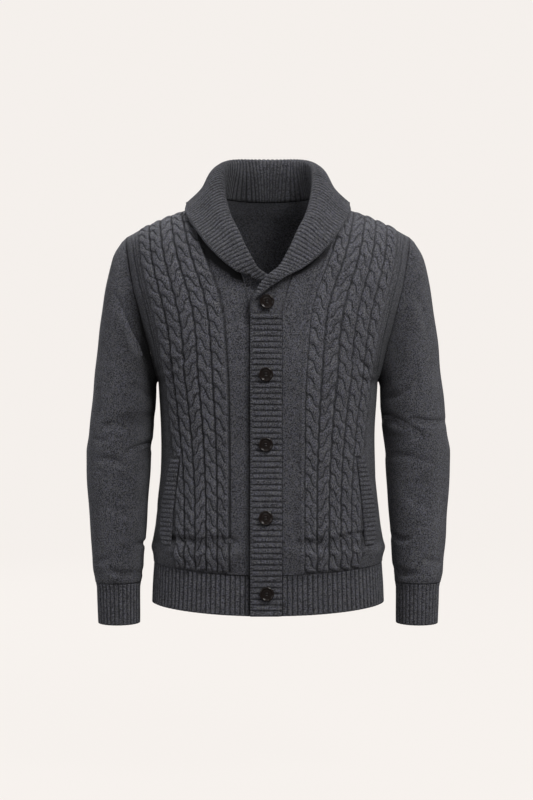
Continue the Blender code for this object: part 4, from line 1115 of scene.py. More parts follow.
def cuff_piece(hand):
    """A ribbed cuff."""
    rows = table(CUFF_COLS, CUFF_ROWS)
    flip = np.array([hand, 1, 1])
    around = CUFF_RIBS * RIB_FINE

    def ring(f, count, inset):
        row = {n: v[0] + (v[1] - v[0]) * f for n, v in rows.items()}
        s = 2 * math.pi * np.arange(count) / count
        a = (row["xo"] - row["xi"]) / 2 - inset
        b = row["half"] - inset
        x = (row["xo"] + row["xi"]) / 2 + a * np.cos(s)
        return xyz(x, row["mid"] - b * np.sin(s), row["z"])

    phase = np.arange(around) / RIB_FINE + 0.5
    marks = np.linspace(0, 1, 25)
    fade = rib_ends(marks)
    wave = rib_wave(phase)
    wander = 0.35 * np.sin(7 * marks[:, None] + 4 * np.sin(phase[None] / 5.0))
    inset = RIB_DEEP * (1 - wave)[None] * (0.5 + 0.5 * fade)[:, None] + 0.3 * (1 - fade)[:, None]
    down = marks * (rows["z"][0] - rows["z"][1])
    inset = inset + 0.2 * wander - 1.3 * bell(down, 5)[:, None]
    grid = np.array([ring(f, around, inset[k]) for k, f in enumerate(marks)])
    inner = np.array([ring(f, 96, RIB + 2.6 - 0.6 * rib_wave(np.arange(96) / 3.0))
                      for f in (0.0, 0.5, 1.0)])
    mid_z = rows["z"][0] - down
    # painted shade in the rib valleys, painted light on the crests, and painted light over the
    # whole left cuff
    tone = (wave[None] - RIB_TONE) * fade[:, None] + (CUFF_LIGHT if hand > 0 else 0.0)
    return Shell(grid * flip, rib_places(phase[None], mid_z[:, None]), tone,
                 inner * flip, RIB_LINING, True, inner[..., ::2])


# ---------------------------------------------------------------- hem rib

def hem_piece(start, end, side, panel):
    """Hem rib between two places on the section; places are signed distances in x."""
    rows = table(HEM_COLS, HEM_ROWS)
    depths = rows["front" if side < 0 else "back"]
    seam = panel[0] if (panel[0, 0, 0] > panel[0, -1, 0]) else panel[0, ::-1]
    seam_run, seam_z = lengths(seam), seam[:, 2]

    def size(f):
        return [top + (low - top) * f for top, low in (rows["half"], depths)]

    def face(f, xs, inset):
        half, depth = size(f)
        frac = np.clip(np.abs(xs) / half, 0, 1)
        y = side * section(xs, half, depth)
        drop = f * (HEM_DROP[side] + (HEM_HIGH - HEM_DROP[side]) * frac ** 2)
        share = lengths(xyz(xs, y, 0))
        z = np.interp(share / share[-1], seam_run / seam_run[-1], seam_z) - SEAM - drop
        pts = xyz(xs, y, z)
        pts[:, :2] -= np.asarray(inset)[:, None] * section_normals(xs, y, half, depth)
        return pts

    def places_x(f, count):
        half, depth = size(f)
        a = half if start is None else start
        b = -half if end is None else end
        xs = np.clip(half * np.cos(np.linspace(0, math.pi, 1600)), min(a, b), max(a, b))
        run = lengths(xyz(xs, side * section(xs, half, depth), 0))
        return np.interp(np.linspace(0, run[-1], count + 1), run, xs)

    ribs = int(round(HEM_SPAN[side] / HEM_RIB))
    count = ribs * RIB_FINE
    phase = np.arange(count + 1) / RIB_FINE
    wave = rib_wave(phase)
    marks = np.linspace(0, 1, 25)
    fade = rib_ends(marks)
    outer = []
    for k, f in enumerate(marks):
        wander = 0.25 * np.sin(6 * f + 3 * np.sin(phase / 4.0))
        inset = RIB_DEEP * (1 - wave) * (0.5 + 0.5 * fade[k]) + wander
        outer.append(face(f, places_x(f, count), inset))
    outer = np.array(outer)
    inner = []
    for f in (0.0, 0.5, 1.0):
        xs = places_x(f, ribs * 3)
        inner.append(face(f, xs, RIB + 2.8 - 0.6 * rib_wave(np.arange(len(xs)) / 3.0)))
    inner = np.array(inner)
    for block in (outer, inner):
        for at, limit in ((0, start), (-1, end)):
            if limit is None:
                block[:, at, 1] = side * SEAM / 2
            else:
                block[:, at, 0] = limit
    places = rib_places(phase[None], -marks[:, None] * HEM_HIGH)
    # painted shade in the rib valleys and painted light on the crests, with painted shade along
    # the rib's top below the puff
    tone = (wave[None] - RIB_TONE) * fade[:, None] - 0.22 * bell(marks * HEM_HIGH, 9)[:, None]
    if start is not None:
        # painted shadow beside the band's free edge
        tone = tone - band_shade(outer)
        turn, tuck, inner[:, 0] = allowance(outer[:, 0], inner[:, 0].copy(), -1)
        outer = np.concatenate([tuck[:, None], turn[:, None], outer], axis=1)
    elif end is not None:
        turn, tuck, inner[:, -1] = allowance(outer[:, -1], inner[:, -1].copy(), 1)
        outer = np.concatenate([outer, turn[:, None], tuck[:, None]], axis=1)
    spare = (2 * (start is not None), 2 * (start is None and end is not None))
    places = np.pad(places, ((0, 0), spare, (0, 0)), mode="edge")
    tone = np.pad(tone, ((0, 0), spare), mode="edge")
    return Shell(outer, places, tone, inner, RIB_LINING)


# ---------------------------------------------------------------- chained edges

CHAIN = 4.4         # one link of the chained edge


def chain_links(phase, off, wide, low, high):
    """Links along a chained edge, and their height at a distance from it."""
    beads = (0.5 + 0.5 * np.cos(phase))[:, None]
    return beads, low + high * beads * np.sin(np.pi * np.clip(off / wide, 0, 1)) ** 0.7


def rounded(off, radius, least=0.0):
    """How far the cloth has swollen to its full thickness, from its very edge inwards."""
    return np.sqrt(np.clip(1 - (1 - np.clip(off / radius, 0, 1)) ** 2, least, 1))


def edged_tone(wave, beads, chain):
    """Painted light and shade of ribs that end in a chained edge: lighter rib crests and links,
    darker valleys and gaps between the links.
    """
    return (wave - RIB_TONE) * (1 - chain) + (0.9 * beads - 0.5) * chain


# ---------------------------------------------------------------- collar

def neck_line(left, back, right):
    """Neck seam from the wearer's left break round the back to the right one."""
    def edge(panel):
        rows = slice(BREAK_ROW, None)
        return panel["grid"][rows, -1], inner_at_rows(panel, -1)[rows]

    lo, li = edge(left)
    ro, ri = edge(right)
    cols = [c for c in range(back["grid"].shape[1]) if abs(back["grid"][-1, c, 0]) < NECK_X - 0.5]
    bo = back["grid"][-1, cols][::-1]
    bi = bo - WALL * back["normals"][-1, cols][::-1]
    return np.concatenate([lo, bo, ro[::-1]]), np.concatenate([li, bi, ri[::-1]])


def clear_of(points, surfaces, distance):
    """Points pushed out until they clear the panels by a distance."""
    ground = np.concatenate([s["grid"].reshape(-1, 3) for s in surfaces])
    away = np.concatenate([s["normals"].reshape(-1, 3) for s in surfaces])
    flat = points.reshape(-1, 3).copy()
    for _ in range(4):
        for k, p in enumerate(flat):
            near = np.argmin(np.sum((ground - p) ** 2, axis=1))
            if np.linalg.norm(ground[near] - p) > 60:
                continue
            gap = (p - ground[near]) @ away[near]
            if gap < distance:
                flat[k] = p + away[near] * (distance - gap)
    return flat.reshape(points.shape)


def curl(start, ahead, out, radius, width, turn):
    """Roll apex, end of the roll, middle and edge of a strip that turns by an angle."""
    def point(arc, extra):
        bend = np.maximum(turn, 1e-3) / (math.pi * radius)
        angle = bend * arc
        pos = start + ahead * np.sin(angle) / bend + out * (1 - np.cos(angle)) / bend
        return pos + extra * (ahead * np.cos(angle) + out * np.sin(angle))

    arc = math.pi * radius
    return [point(arc / 2, 0), point(arc, 0), point(arc, width / 2), point(arc, width)]


def collar_keys():
    """The collar's table from the over end round the back to the under end."""
    half = [list(r) for r in COLLAR_HALF]
    rows, flats = [], []
    for end, flat, hand in ((OVER_END, OVER_FLAT, 1), (UNDER_END, UNDER_FLAT, -1)):
        part = half + [list(r) for r in end]
        marks = [0.0] * (len(half) - 1) + list(flat)
        side = [[hand * v if c in (0, 3, 6) else v for c, v in enumerate(r)] for r in part]
        if hand > 0:
            rows, flats = side[::-1], marks[::-1]
        else:
            rows, flats = rows + side[1:], flats + marks[1:]
    return table(COLLAR_COLS, rows), np.array(flats)


def collar_spine(left, back, right, per_rib):
    """Control points across the collar at per_rib places along each rib period."""
    keys, flats = collar_keys()
    seam_out, seam_in = neck_line(left, back, right)
    run = lengths(seam_out)
    near = [run[np.argmin(np.linalg.norm(seam_out - p, axis=1))]
            for p in zip(keys["nx"], keys["ny"], keys["nz"])]
    near[0], near[-1] = 0.0, run[-1]
    near = np.maximum.accumulate(np.array(near) + np.arange(len(near)) * 1e-6)
    marks = np.arange(len(flats), dtype=float)
    fine = np.linspace(0, marks[-1], 900)

    def at(name, t):
        return smooth(marks, keys[name], t)

    def line(name, t):
        return xyz(*(at(name + c, t) for c in "xyz"))

    edge_run = lengths(line("f", fine) * 0.5 + line("r", fine) * 0.5)
    ribs = int(round(edge_run[-1] / COLLAR_RIB))
    t = np.interp(np.linspace(0, edge_run[-1], per_rib * ribs + 1), edge_run, fine)
    pos = smooth(marks, near, t)
    outer, inner = at_lengths(pos, run, seam_out), at_lengths(pos, run, seam_in)
    rim = unit(inner - outer)
    roll, edge = line("r", t), line("f", t)
    gap, bow = at("half", t)[:, None], at("bow", t)[:, None]
    flat = np.interp(t, marks, flats)[:, None]
    along = unit(np.gradient(outer, axis=0))
    out_of = unit(np.cross(along, rim))
    toward = xyz(-outer[:, 0], -np.maximum(outer[:, 1], 0), 10.0)
    out_of *= np.sign(np.sum(out_of * toward, axis=1))[:, None]
    outer, inner = outer + NECK_SEAM * out_of, inner + NECK_SEAM * out_of
    seam_mid = outer + rim * WALL / 2
    a_s, a_f = unit(roll - seam_mid), unit(roll - edge)
    e = unit(np.cross(unit(np.gradient(roll, axis=0)), a_s))
    e *= np.where(np.sum(e * (edge - seam_mid), axis=1) < 0, -1, 1)[:, None]
    p2 = roll - a_s * gap - e * gap
    p4 = roll - a_f * gap + e * gap
    step = np.interp(t, (0, 4, 6), (1, 1, 0))[:, None] * OVER_STEP
    p1 = 0.6 * seam_mid + 0.4 * p2 + e * step
    rolled = [roll, p4, 0.5 * (p4 + edge) + e * bow, edge]
    width = np.maximum(np.linalg.norm(edge - p4, axis=1, keepdims=True), 1.2)
    full = curl(p2, a_s, e, gap, width, math.pi * np.ones_like(flat))
    opened = curl(p2, a_s, e, gap, width, math.pi * (1 - flat))
    fall = [o + (r - f) * (1 - flat) for o, r, f in zip(opened, rolled, full)]
    grid = np.stack([seam_mid, p1, p2] + fall, axis=1)
    over_panel = np.abs(grid[:, -1, 0]) > 32
    grid[over_panel, 5:] = clear_of(grid[over_panel, 5:], (left, back, right),
                                    CABLE_CLEAR + COLLAR_WALL / 2 + 1.0)
    return grid, t, rim, marks[-1]


CHAIN_WIDE = 5.0    # width of the collar's chained edge
# each lapel's lifted edge: first and last collar row, and height
EDGE_LIFT = ((17.5, 27.0, 7.0), (2.0, 11.0, 3.0))
STAND = (10.0, 18.5)         # collar rows between the two lapels
LAPEL_RIBS = 0.3             # the lapels' ribs are this share finer than the rows
EDGE_IN = 3.0                # the lapels' edges are drawn in by this much
CORNER_IN = 2.2              # and the collar's two side corners
CORNER_WIDE = 0.4            # reach of a corner, in collar rows
ROLL_OUT = 3.0               # the roll stands out sideways and hangs down by this much
ROLL_DOWN = 3.0
ROLL_WIDE = 0.2              # its reach, as a share of the collar's breadth
COLLAR_CELLS = 72            # samples across the collar


def lapel_rows(t, start, end):
    """1 along a lapel's rows, fading slowly towards the back of the neck."""
    slow, fast = 6.0, 2.5
    if start < STAND[0]:
        slow, fast = fast, slow
    return window(t, start, end, slow, fast)


def collar_fall(spine, t):
    """The collar's middle surface: a fuller roll, lapels drawn in and lifted at the edge."""
    grid = finer(spine, COLLAR_CELLS)
    share = np.linspace(0, 1, COLLAR_CELLS + 1)
    at_roll = bell(share - 0.5, ROLL_WIDE)
    grid[..., 0] += ROLL_OUT * at_roll * np.sign(grid[..., 0]) * ease(np.abs(grid[..., 0]) / 14)
    grid[..., 2] -= ROLL_DOWN * at_roll * ease((-45 - grid[..., 2]) / 40) * ease(
        (grid[..., 2] - BREAK_Z - 8) / 25)
    corners = [t[np.argmax(side * grid[:, -1, 0])] for side in (-1, 1)]
    for row, place in enumerate(t):
        drawn_in = sum(EDGE_IN * float(lapel_rows(place, start, end))
                       for start, end, _ in EDGE_LIFT)
        drawn_in += sum(CORNER_IN * bell(place - at, CORNER_WIDE) for at in corners)
        run = lengths(grid[row])
        kept = run * (1 - drawn_in / run[-1])
        grid[row] = at_lengths(kept, run, grid[row])
    normals = grid_normals(grid)
    if normals[len(grid) // 2, int(COLLAR_CELLS * 0.8), 1] < 0:
        normals = -normals
    across = run_across(grid)
    fall = ease((across / across[:, -1:] - 0.5) / 0.5) ** 1.3
    for start, end, height in EDGE_LIFT:
        part = lapel_rows(t, start, end)
        grid = grid + normals * (height * part[:, None] * fall)[..., None]
    return grid, normals, across


def collar_piece(left, back, right):
    """The ribbed shawl collar, one layer that folds over at the roll line."""
    spine, t, rim, last = collar_spine(left, back, right, RIB_FINE)
    grid, normals, across = collar_fall(spine, t)
    to_edge = across[:, -1:] - across
    corner = 0.05 * ease((np.abs(grid[..., 0]) - 45) / 20)
    inside = ease((0.47 + corner - across / across[:, -1:]) / 0.34)
    inside *= ease((np.minimum(t, last - t) - 6) / 5)[:, None]
    on_lapel = 1 - window(t, *STAND, 2, 2)
    along = np.cumsum(1 + LAPEL_RIBS * on_lapel) / RIB_FINE
    wave = rib_wave(along)[:, None]
    hidden = ease((t - (last - 4.2)) / 0.8)[:, None]
    chain = ease((CHAIN_WIDE - to_edge) / 1.6)
    seam = ease(across / 3.0)
    beads, link = chain_links(2 * np.pi * along * COLLAR_RIB / CHAIN, to_edge, CHAIN_WIDE,
                              0.3, 1.5)
    ribbed = RIB_DEEP * wave * (1 - 0.4 * inside) - 0.6
    height = (ribbed * (1 - chain) + link * chain) * seam * (1 - hidden)
    height += 0.35 * drift(grid, 7, 40) * seam * (1 - hidden)
    half = np.minimum(COLLAR_WALL / 2, np.interp(t, (last - 4, last - 3),
                                                 (COLLAR_WALL / 2, UNDER_TIP)))[:, None]
    thick = np.where(seam < 1, WALL / 2 + (half - WALL / 2) * seam, half)
    thick = thick * rounded(to_edge, 2.2, 0.05)
    blend = ease(across / 4.0)[..., None]
    out_dir = unit(normals * blend + rim[:, None] * (1 - blend) * np.sign(
        np.sum(normals * rim[:, None], axis=2, keepdims=True)))
    over = grid + out_dir * (thick + height)[..., None]
    pick = slice(None, None, RIB_FINE // 5)
    under_cols = np.linspace(0, COLLAR_CELLS, 19).astype(int)

    def coarse(values):
        return values[pick][:, under_cols]

    under_wave = rib_wave(along + 0.5)[pick][:, None]
    under_h = (0.9 * under_wave - 0.3) * coarse(seam) * (1 - hidden[pick])
    near_end = ease((along[pick] * COLLAR_RIB - RIBBED_BOTH) / 20)[:, None]
    under_h = under_h * (1 - 0.5 * near_end)
    under = coarse(grid) - coarse(out_dir) * (coarse(thick) + under_h)[..., None]
    for face in (over, under):
        face[[0, -1], :, 2] = BREAK_Z
    places = rib_places(along[:, None], across)
    # painted light and shade: lighter rib crests and links, darker valleys and link gaps
    relief = edged_tone(wave, beads, chain)
    # painted shade on the stand's inner face, darker towards the wearer's right, on the wearer's
    # right lapel's outer face and along the neck seam
    relief = relief * (1 - 0.4 * inside) - inside * (0.42 + 0.22 * ease(-grid[..., 0] / 45))
    relief -= 0.14 * (1 - inside) * ease(-grid[..., 0] / 40) + 0.3 * inside * ease(1 - across / 7)
    # painted shade on the hidden tip of the under lapel and painted shadow in the hollow below it
    relief = relief - 0.4 * hidden - notch_shade(grid) * ease((t - last + 6) / 1.5)[:, None]
    return Shell(over, places, relief, under, 0.1, False, coarse(places))


# ---------------------------------------------------------------- bands, welts, buttons

LAPEL_STEP = 3.2    # the lapel stands this much prouder than the band below it
BAND_CHAIN = 4.6    # width of a band's chained edge
BAND_CELLS = 36     # samples across a band


def band_piece(columns, chained, holes):
    """A ribbed front band with its buttonholes.

    columns are those of OVER_BAND; chained is -1 if the free, chained edge is on the left in
    the front view and 1 on the right; holes are the x and z of the buttons."""
    top, bottom = BREAK_Z - SEAM, BAND_END
    ribs = int(round((top - bottom) / BAND_RIB))
    zs = np.linspace(top, bottom, RIB_FINE * ribs + 1)
    phase = np.arange(len(zs)) / RIB_FINE
    at_x, to_front, to_back = np.array(sorted(columns)).T
    xs = np.linspace(at_x[0], at_x[-1], BAND_CELLS + 1)
    front = smooth(at_x, to_front, xs)
    y = smooth(BAND_Z, BAND_Y, zs)
    wave = rib_wave(phase)[:, None]
    from_low, from_high = xs - xs[0], xs[-1] - xs
    free = from_low if chained < 0 else from_high
    seamed = from_high if chained < 0 else from_low
    chain = ease((BAND_CHAIN - free) / 1.4)[None]
    beads, link = chain_links(2 * np.pi * (top - zs) / CHAIN, free, BAND_CHAIN, 0.4, 1.4)
    body = RIB_DEEP * (wave - 1) + 0.2 + 0.25 * np.sin(3 * phase[:, None] / 5 + xs / 9)
    ends = ease((zs - bottom) / 2.4)[:, None]
    to_lapel = LAPEL_STEP * ease(1 - (top - zs) / 16)[:, None] if chained < 0 else 0.0
    height = (body * (1 - chain) + (link - RIB_DEEP + 0.6) * chain)
    height = height * ease(seamed / 3)[None] - 0.15 * (1 - ease(seamed / 2.4))[None]
    height = height * ends - 1.0 * (1 - ends) + to_lapel
    for hx, hz in holes:
        slit = bell(zs[:, None] - hz, 0.9) * ease((9 - np.abs(xs - hx)) / 1.5)[None]
        lips = bell(np.abs(zs[:, None] - hz) - 2.1, 1.0)
        lips = lips * ease((10.5 - np.abs(xs - hx)) / 1.5)[None]
        height = height - 2.2 * slit + 0.5 * lips
    depth = y[:, None] + front[None] - height + 1.2 * (1 - rounded(free, 1.8))[None]
    outer = xyz(xs[None], depth, zs[:, None])
    inner_z = np.linspace(top, bottom, 60)
    inner_y = smooth(BAND_Z, BAND_Y, inner_z)
    inner_x = np.linspace(xs[0], xs[-1], 9)
    inner_off = smooth(at_x, to_back, inner_x)
    inner = xyz(inner_x[None], inner_y[:, None] + inner_off[None], inner_z[:, None])
    # painted light and shade: lighter rib crests and links, darker valleys and link gaps
    return Shell(outer, rib_places(phase[:, None], xs[None]), edged_tone(wave, beads, chain),
                 inner, 0.1)


def welt_piece(hand):
    """Pocket welt: the front's own surface moved out, ribbed across."""
    rows = table(WELT_COLS, WELT_ROWS[::-1])
    qs = np.linspace(1, 6, 400)
    levels = np.array([row_at(FRONT, q)["z_mid"] for q in qs])
    top, bottom = WELT_ROWS[0][0], WELT_ROWS[-1][0]
    ribs = int(round((top - bottom) / WELT_RIB))
    zs = np.linspace(bottom, top, RIB_FINE * ribs + 1)
    wave = rib_wave(np.arange(len(zs)) / RIB_FINE)
    cols = 18

    def face(z, count, lift):
        row = row_at(FRONT, float(np.interp(z, levels, qs)))
        half, depth = row["x_side"], row["depth"]
        a, b = smooth(rows["z"], rows["x_out"], z), smooth(rows["z"], rows["x_in"], z)
        xs = np.linspace(a, b, count)
        y = -section(xs, half, depth)
        pts = xyz(xs, y, z)
        pts[:, :2] += section_normals(xs, y, half, depth) * np.asarray(lift)[:, None]
        pts[:, 0] *= hand
        return pts

    side = np.linspace(-1, 1, cols)
    crown = np.clip(1 - np.abs(side) ** 6, 0, 1)
    outer = []
    for k, z in enumerate(zs):
        end = min(1.0, min(z - bottom, top - z) / 2.5)
        lift = WELT_LIFT + WELT_WALL - 1.9 + crown * (1.9 - 0.85 * RIB_DEEP * (1 - wave[k])) * (
            0.35 + 0.65 * ease(end))
        lift = lift + 0.5 * bell(np.abs(side) - 0.86, 0.1)
        outer.append(face(z, cols, lift))
    outer = np.array(outer)
    inner = np.array([face(z, 4, [WELT_LIFT] * 4) for z in zs[::5]])
    places = rib_places((np.arange(len(zs)) / RIB_FINE)[:, None], side[None] * 8)
    # painted shade in the rib valleys, painted light on the crests
    return Shell(outer, places, 0.85 * (wave - RIB_TONE)[:, None], inner, 0.1)


# a button's section from its back to the groove: radius and height
BUTTON_SIDE = ((0.0, 0.0), (6.0, 0.0), (9.6, 0.0), (10.8, 0.35), (11.45, 1.1), (11.5, 1.9),
               (11.4, 2.6), (11.1, 3.2), (10.6, 3.6), (10.0, 3.75), (9.4, 3.65), (8.9, 3.3),
               (8.5, 2.75), (8.2, 2.15), (7.9, 1.85), (7.5, 1.8))
BUTTON_HOLE = (1.75, 1.05, 2.0)     # offset from the centre, radius, depth
THREAD = 0.42                       # radius of the sewing thread


def button_frame(x, z, face):
    """Where a button's back lies, and how far it leans with the band."""
    y, above = (float(smooth(BAND_Z, BAND_Y, v)) + face for v in (z, z + 10))
    return np.array([x, y, z]), (above - y) / 10


def button_piece(x, z, face, name, material):
    """A turned button with a raised rim, a dished face and four holes."""
    mid, tilt = button_frame(x, z, face)
    sides = 96
    angle = 2 * math.pi * np.arange(sides) / sides
    profile = list(BUTTON_SIDE) + [(r, 1.8 + 0.25 * ease((7.3 - r) / 1.3))
                                   for r in np.linspace(7.3, 0.0, 28)]
    verts = []
    offset, radius, deep = BUTTON_HOLE
    for r, lift in profile:
        px, pz = r * np.cos(angle), r * np.sin(angle)
        drop = np.zeros(sides)
        if r < 5:
            for sx in (-1, 1):
                for sz in (-1, 1):
                    far = np.hypot(px - sx * offset, pz - sz * offset)
                    drop = np.maximum(drop, deep * ease((radius + 0.2 - far) / 0.4))
        verts += [(mid[0] + a, mid[1] - lift + d + tilt * b, mid[2] + b)
                  for a, b, d in zip(px, pz, drop)]
    return add_mesh(name, np.array(verts) * MM, ring_faces(len(profile), sides), material,
                    weld=1e-6)


def tube(path, radius):
    """Points and faces of a round tube along a path."""
    sides = 8
    path = np.asarray(path, float)
    heading = unit(np.gradient(path, axis=0))
    up = np.array([0.0, -1.0, 0.0])
    side = unit(np.cross(heading, up))
    rise = unit(np.cross(side, heading))
    angle = 2 * math.pi * np.arange(sides) / sides
    rings = (path[:, None] + radius * (np.cos(angle)[None, :, None] * side[:, None]
                                       + np.sin(angle)[None, :, None] * rise[:, None]))
    faces = ring_faces(len(path), sides)
    faces.append(tuple(range(sides)))
    faces.append(tuple(range((len(path) - 1) * sides, len(path) * sides))[::-1])
    return rings.reshape(-1, 3), faces


def button_threads(material):
    """The thread that holds each button: two double bars through its four holes."""
    verts, faces, count = [], [], 0
    for x, z in BUTTON_AT:
        mid, tilt = button_frame(x, z, button_face(z))
        offset = BUTTON_HOLE[0]
        for sz in (-1, 1):
            for spread in (-0.36, 0.36):
                s = np.linspace(-1, 1, 9)
                rise = 2.0 + 0.75 * (1 - s ** 4) - 1.2 * (np.abs(s) > 0.95)
                pz = sz * offset + spread
                path = xyz(mid[0] + s * offset, mid[1] - rise + tilt * pz, mid[2] + pz)
                v, f = tube(path, THREAD)
                verts.append(v)
                faces += [tuple(i + count for i in face) for face in f]
                count += len(v)
    return add_mesh("button_thread", np.concatenate(verts) * MM, faces, material, outward=False)


def button_face(z):
    return -4.3 - RIB - SEAM if z < BREAK_Z else BUTTON_1_FACE


# ---------------------------------------------------------------- materials

class Wire:
    """A node's output, so that node sums are written as sums."""

    def __init__(self, nodes, socket):
        self.nodes, self.socket = nodes, socket

    def __add__(self, other):
        return self.nodes.math("ADD", self, other)

    def __sub__(self, other):
        return self.nodes.math("SUBTRACT", self, other)

    def __rsub__(self, other):
        return self.nodes.math("SUBTRACT", other, self)

    def __mul__(self, other):
        return self.nodes.math("MULTIPLY", self, other)

    def __truediv__(self, other):
        return self.nodes.math("DIVIDE", self, other)

    def __pow__(self, other):
        return self.nodes.math("POWER", self, other)


class Nodes:
    """A material's node tree round its shader."""

    def __init__(self, name, **settings):
        self.mat = bpy.data.materials.new(name)
        self.mat.use_nodes = True
        self.tree = self.mat.node_tree
        self.shader = self.tree.nodes["Principled BSDF"]
        for key, value in settings.items():
            self.set(key, value)

    def set(self, key, value):
        """Give one of the shader's inputs a value or a wire."""
        self.put(self.shader.inputs[key.replace("_", " ")], value)

    def put(self, socket, value):
        if isinstance(value, Wire):
            self.tree.links.new(value.socket, socket)
        else:
            socket.default_value = value

    def node(self, kind, out, *values, **inputs):
        """The output of a new node, with its first inputs in order and others by name."""
        made = self.tree.nodes.new("ShaderNode" + kind)
        for socket, value in zip(made.inputs, values):
            self.put(socket, value)
        for key, value in inputs.items():
            self.put(made.inputs[key.replace("_", " ")], value)
        return made, Wire(self, made.outputs[out])

    def math(self, kind, *values, clamp=False):
        made, wire = self.node("Math", 0, *values)
        made.operation, made.use_clamp = kind, clamp
        return wire

    def mix(self, factor, a, b):
        made, _ = self.node("Mix", 2)
        made.data_type = "RGBA"
        for key, value in ((0, factor), (6, a), (7, b)):
            self.put(made.inputs[key], value)
        return Wire(self, made.outputs[2])

    def noise(self, scale, detail, where=None):
        where = where or self.node("TexCoord", "Object")[1]
        return self.node("TexNoise", "Fac", where, Scale=scale, Detail=detail)[1]

    def bump(self, strength, distance, height):
        self.set("Normal", self.node("Bump", "Normal", Strength=strength, Distance=distance,
                                     Height=height)[1])


MARL = 4.4                            # contrast of the mixed light and dark fibres
SHADE = (0.006, 0.006, 0.007, 1.0)    # between the stitches
WOOL_DARK = (0.032, 0.032, 0.037)     # the dark fibres, and the light ones of both knits
PLAIN_LIGHT = (0.170, 0.171, 0.188)
RIB_LIGHT = (0.166, 0.167, 0.183)


def wool(name, dark, light, tall=1.0):
    """Heather lambswool: knit stitches from their places, mixed fibres and a soft nap,
    with painted shade between the stitches and painted light and shade from the deep attribute.
    """
    n = Nodes(name, Roughness=0.95, Specular_IOR_Level=0.15, Sheen_Weight=0.12,
              Sheen_Roughness=0.5, Sheen_Tint=(0.75, 0.77, 0.82, 1.0))
    place, uv = n.node("UVMap", "UV")
    place.uv_map = "knit"
    split, x = n.node("SeparateXYZ", "X", uv)
    wale, row = x / STITCH[0], Wire(n, split.outputs["Y"]) / STITCH[1]
    out = n.math("ABSOLUTE", n.math("FRACT", wale) - 0.5) * 2.0     # 0 mid wale, 1 at its side
    loops = n.math("SINE", (row - out * 0.85) * (2 * math.pi)) * 0.5 + 0.5
    leg = 1.0 - n.math("ABSOLUTE", out * 2.0 - 1.0) ** 2.0
    stitch = leg * (loops * 0.65 + 0.35)
    n.bump(0.9, 0.0011, stitch * (0.75 * tall) + n.noise(1100.0, 3.0) * 0.5)
    marl = n.noise(300.0, 2.0) * 0.22 + n.noise(600.0, 1.0) * 0.78
    cloud = n.noise(38.0, 3.0) * 0.5 + 0.25
    spread = n.math("ADD", (marl - 0.5) * MARL, cloud, clamp=True)
    cool = n.math("ADD", (n.noise(450.0, 0.0) - 0.5) * 5.0, 0.5, clamp=True)
    red, green, blue = light
    pale = n.mix(cool, (red, green, 0.95 * blue, 1.0),
                 (0.96 * red, 0.97 * green, 1.12 * blue, 1.0))
    # painted light and shade: the deep attribute darkens the colour towards SHADE below nought and
    # lightens it above; the stitch term paints shade between the stitches
    relief, deep = n.node("Attribute", "Fac")
    relief.attribute_name = "deep"
    lit = (stitch * 0.42 + 0.62) * n.math("ADD", deep * 0.95, 0.80, clamp=True)
    n.set("Base Color", n.mix(lit, SHADE, n.mix(spread, (*dark, 1.0), pale)))
    return n.mat


def horn():
    """Dark polished horn with faint streaks."""
    n = Nodes("dark_horn", Roughness=0.24, Specular_IOR_Level=0.4)
    where = n.node("TexCoord", "Object")[1]
    _, drawn = n.node("Mapping", "Vector", where, Scale=(1.0, 1.0, 4.0), Rotation=(0.0, 0.5, 0.0))
    streak = n.noise(160.0, 4.0, drawn)
    n.set("Base Color", n.mix(streak, (0.0012, 0.0008, 0.0007, 1.0), (0.010, 0.0042, 0.0028, 1.0)))
    n.bump(0.15, 0.0002, streak)
    return n.mat


def sewing_thread():
    n = Nodes("sewing_thread", Roughness=0.8)
    n.set("Base Color", n.mix(n.noise(2500.0, 1.0), (0.012, 0.010, 0.010, 1.0),
                              (0.05, 0.045, 0.045, 1.0)))
    return n.mat


# ---------------------------------------------------------------- stage, light, camera

PALE = (0.905, 0.865, 0.832)    # the paper's colour
FLOOR_Z = -0.98
GLOW = 1.0                  # the paper shines by itself, so it takes no shadow
ROOM = (7.0, 1.6, 6.0)      # radius of the floor, of its round edge, and height of the wall


def backdrop():
    """A wide pale floor whose edge turns up into a wall all round."""
    radius, bend, height = ROOM
    profile = [(r, 0.0) for r in np.linspace(0.8, radius - bend, 6)]
    profile += [(radius - bend + bend * math.sin(a), bend - bend * math.cos(a))
                for a in np.linspace(0.15, math.pi / 2, 9)]
    profile += [(radius, height)]
    sides = 64
    verts = [(r * math.cos(2 * math.pi * k / sides), r * math.sin(2 * math.pi * k / sides),
              FLOOR_Z + z) for r, z in profile for k in range(sides)]
    faces = [tuple(range(sides))[::-1]] + ring_faces(len(profile), sides)
    n = Nodes("pale_paper", Base_Color=(*(0.02 * c for c in PALE), 1.0), Roughness=0.95,
              Specular_IOR_Level=0.0, Emission_Color=(*PALE, 1.0), Emission_Strength=GLOW)
    thing = add_mesh("backdrop", verts, faces, n.mat, outward=False)
    thing.visible_diffuse = thing.visible_glossy = thing.visible_shadow = False


# name, place in metres, side of the square lamp, watts and colour
LAMPS = (("key", (1.55, -2.1, 2.0), 1.1, 104, (1.0, 0.99, 0.975)),
         ("front", (-0.5, -2.5, 1.5), 1.2, 13, (1, 1, 1)),
         ("fill", (-2.6, -0.8, 0.5), 1.4, 25, (0.97, 0.98, 1.0)),
         ("top", (0.2, 1.0, 2.6), 1.6, 40, (1, 1, 1)),
         ("rear", (-1.2, 2.6, 0.9), 1.8, 60, (1, 1, 1)))
LIT_POINT = Vector((0.0, 0.0, -0.3))
WORLD_LIGHT = 0.26


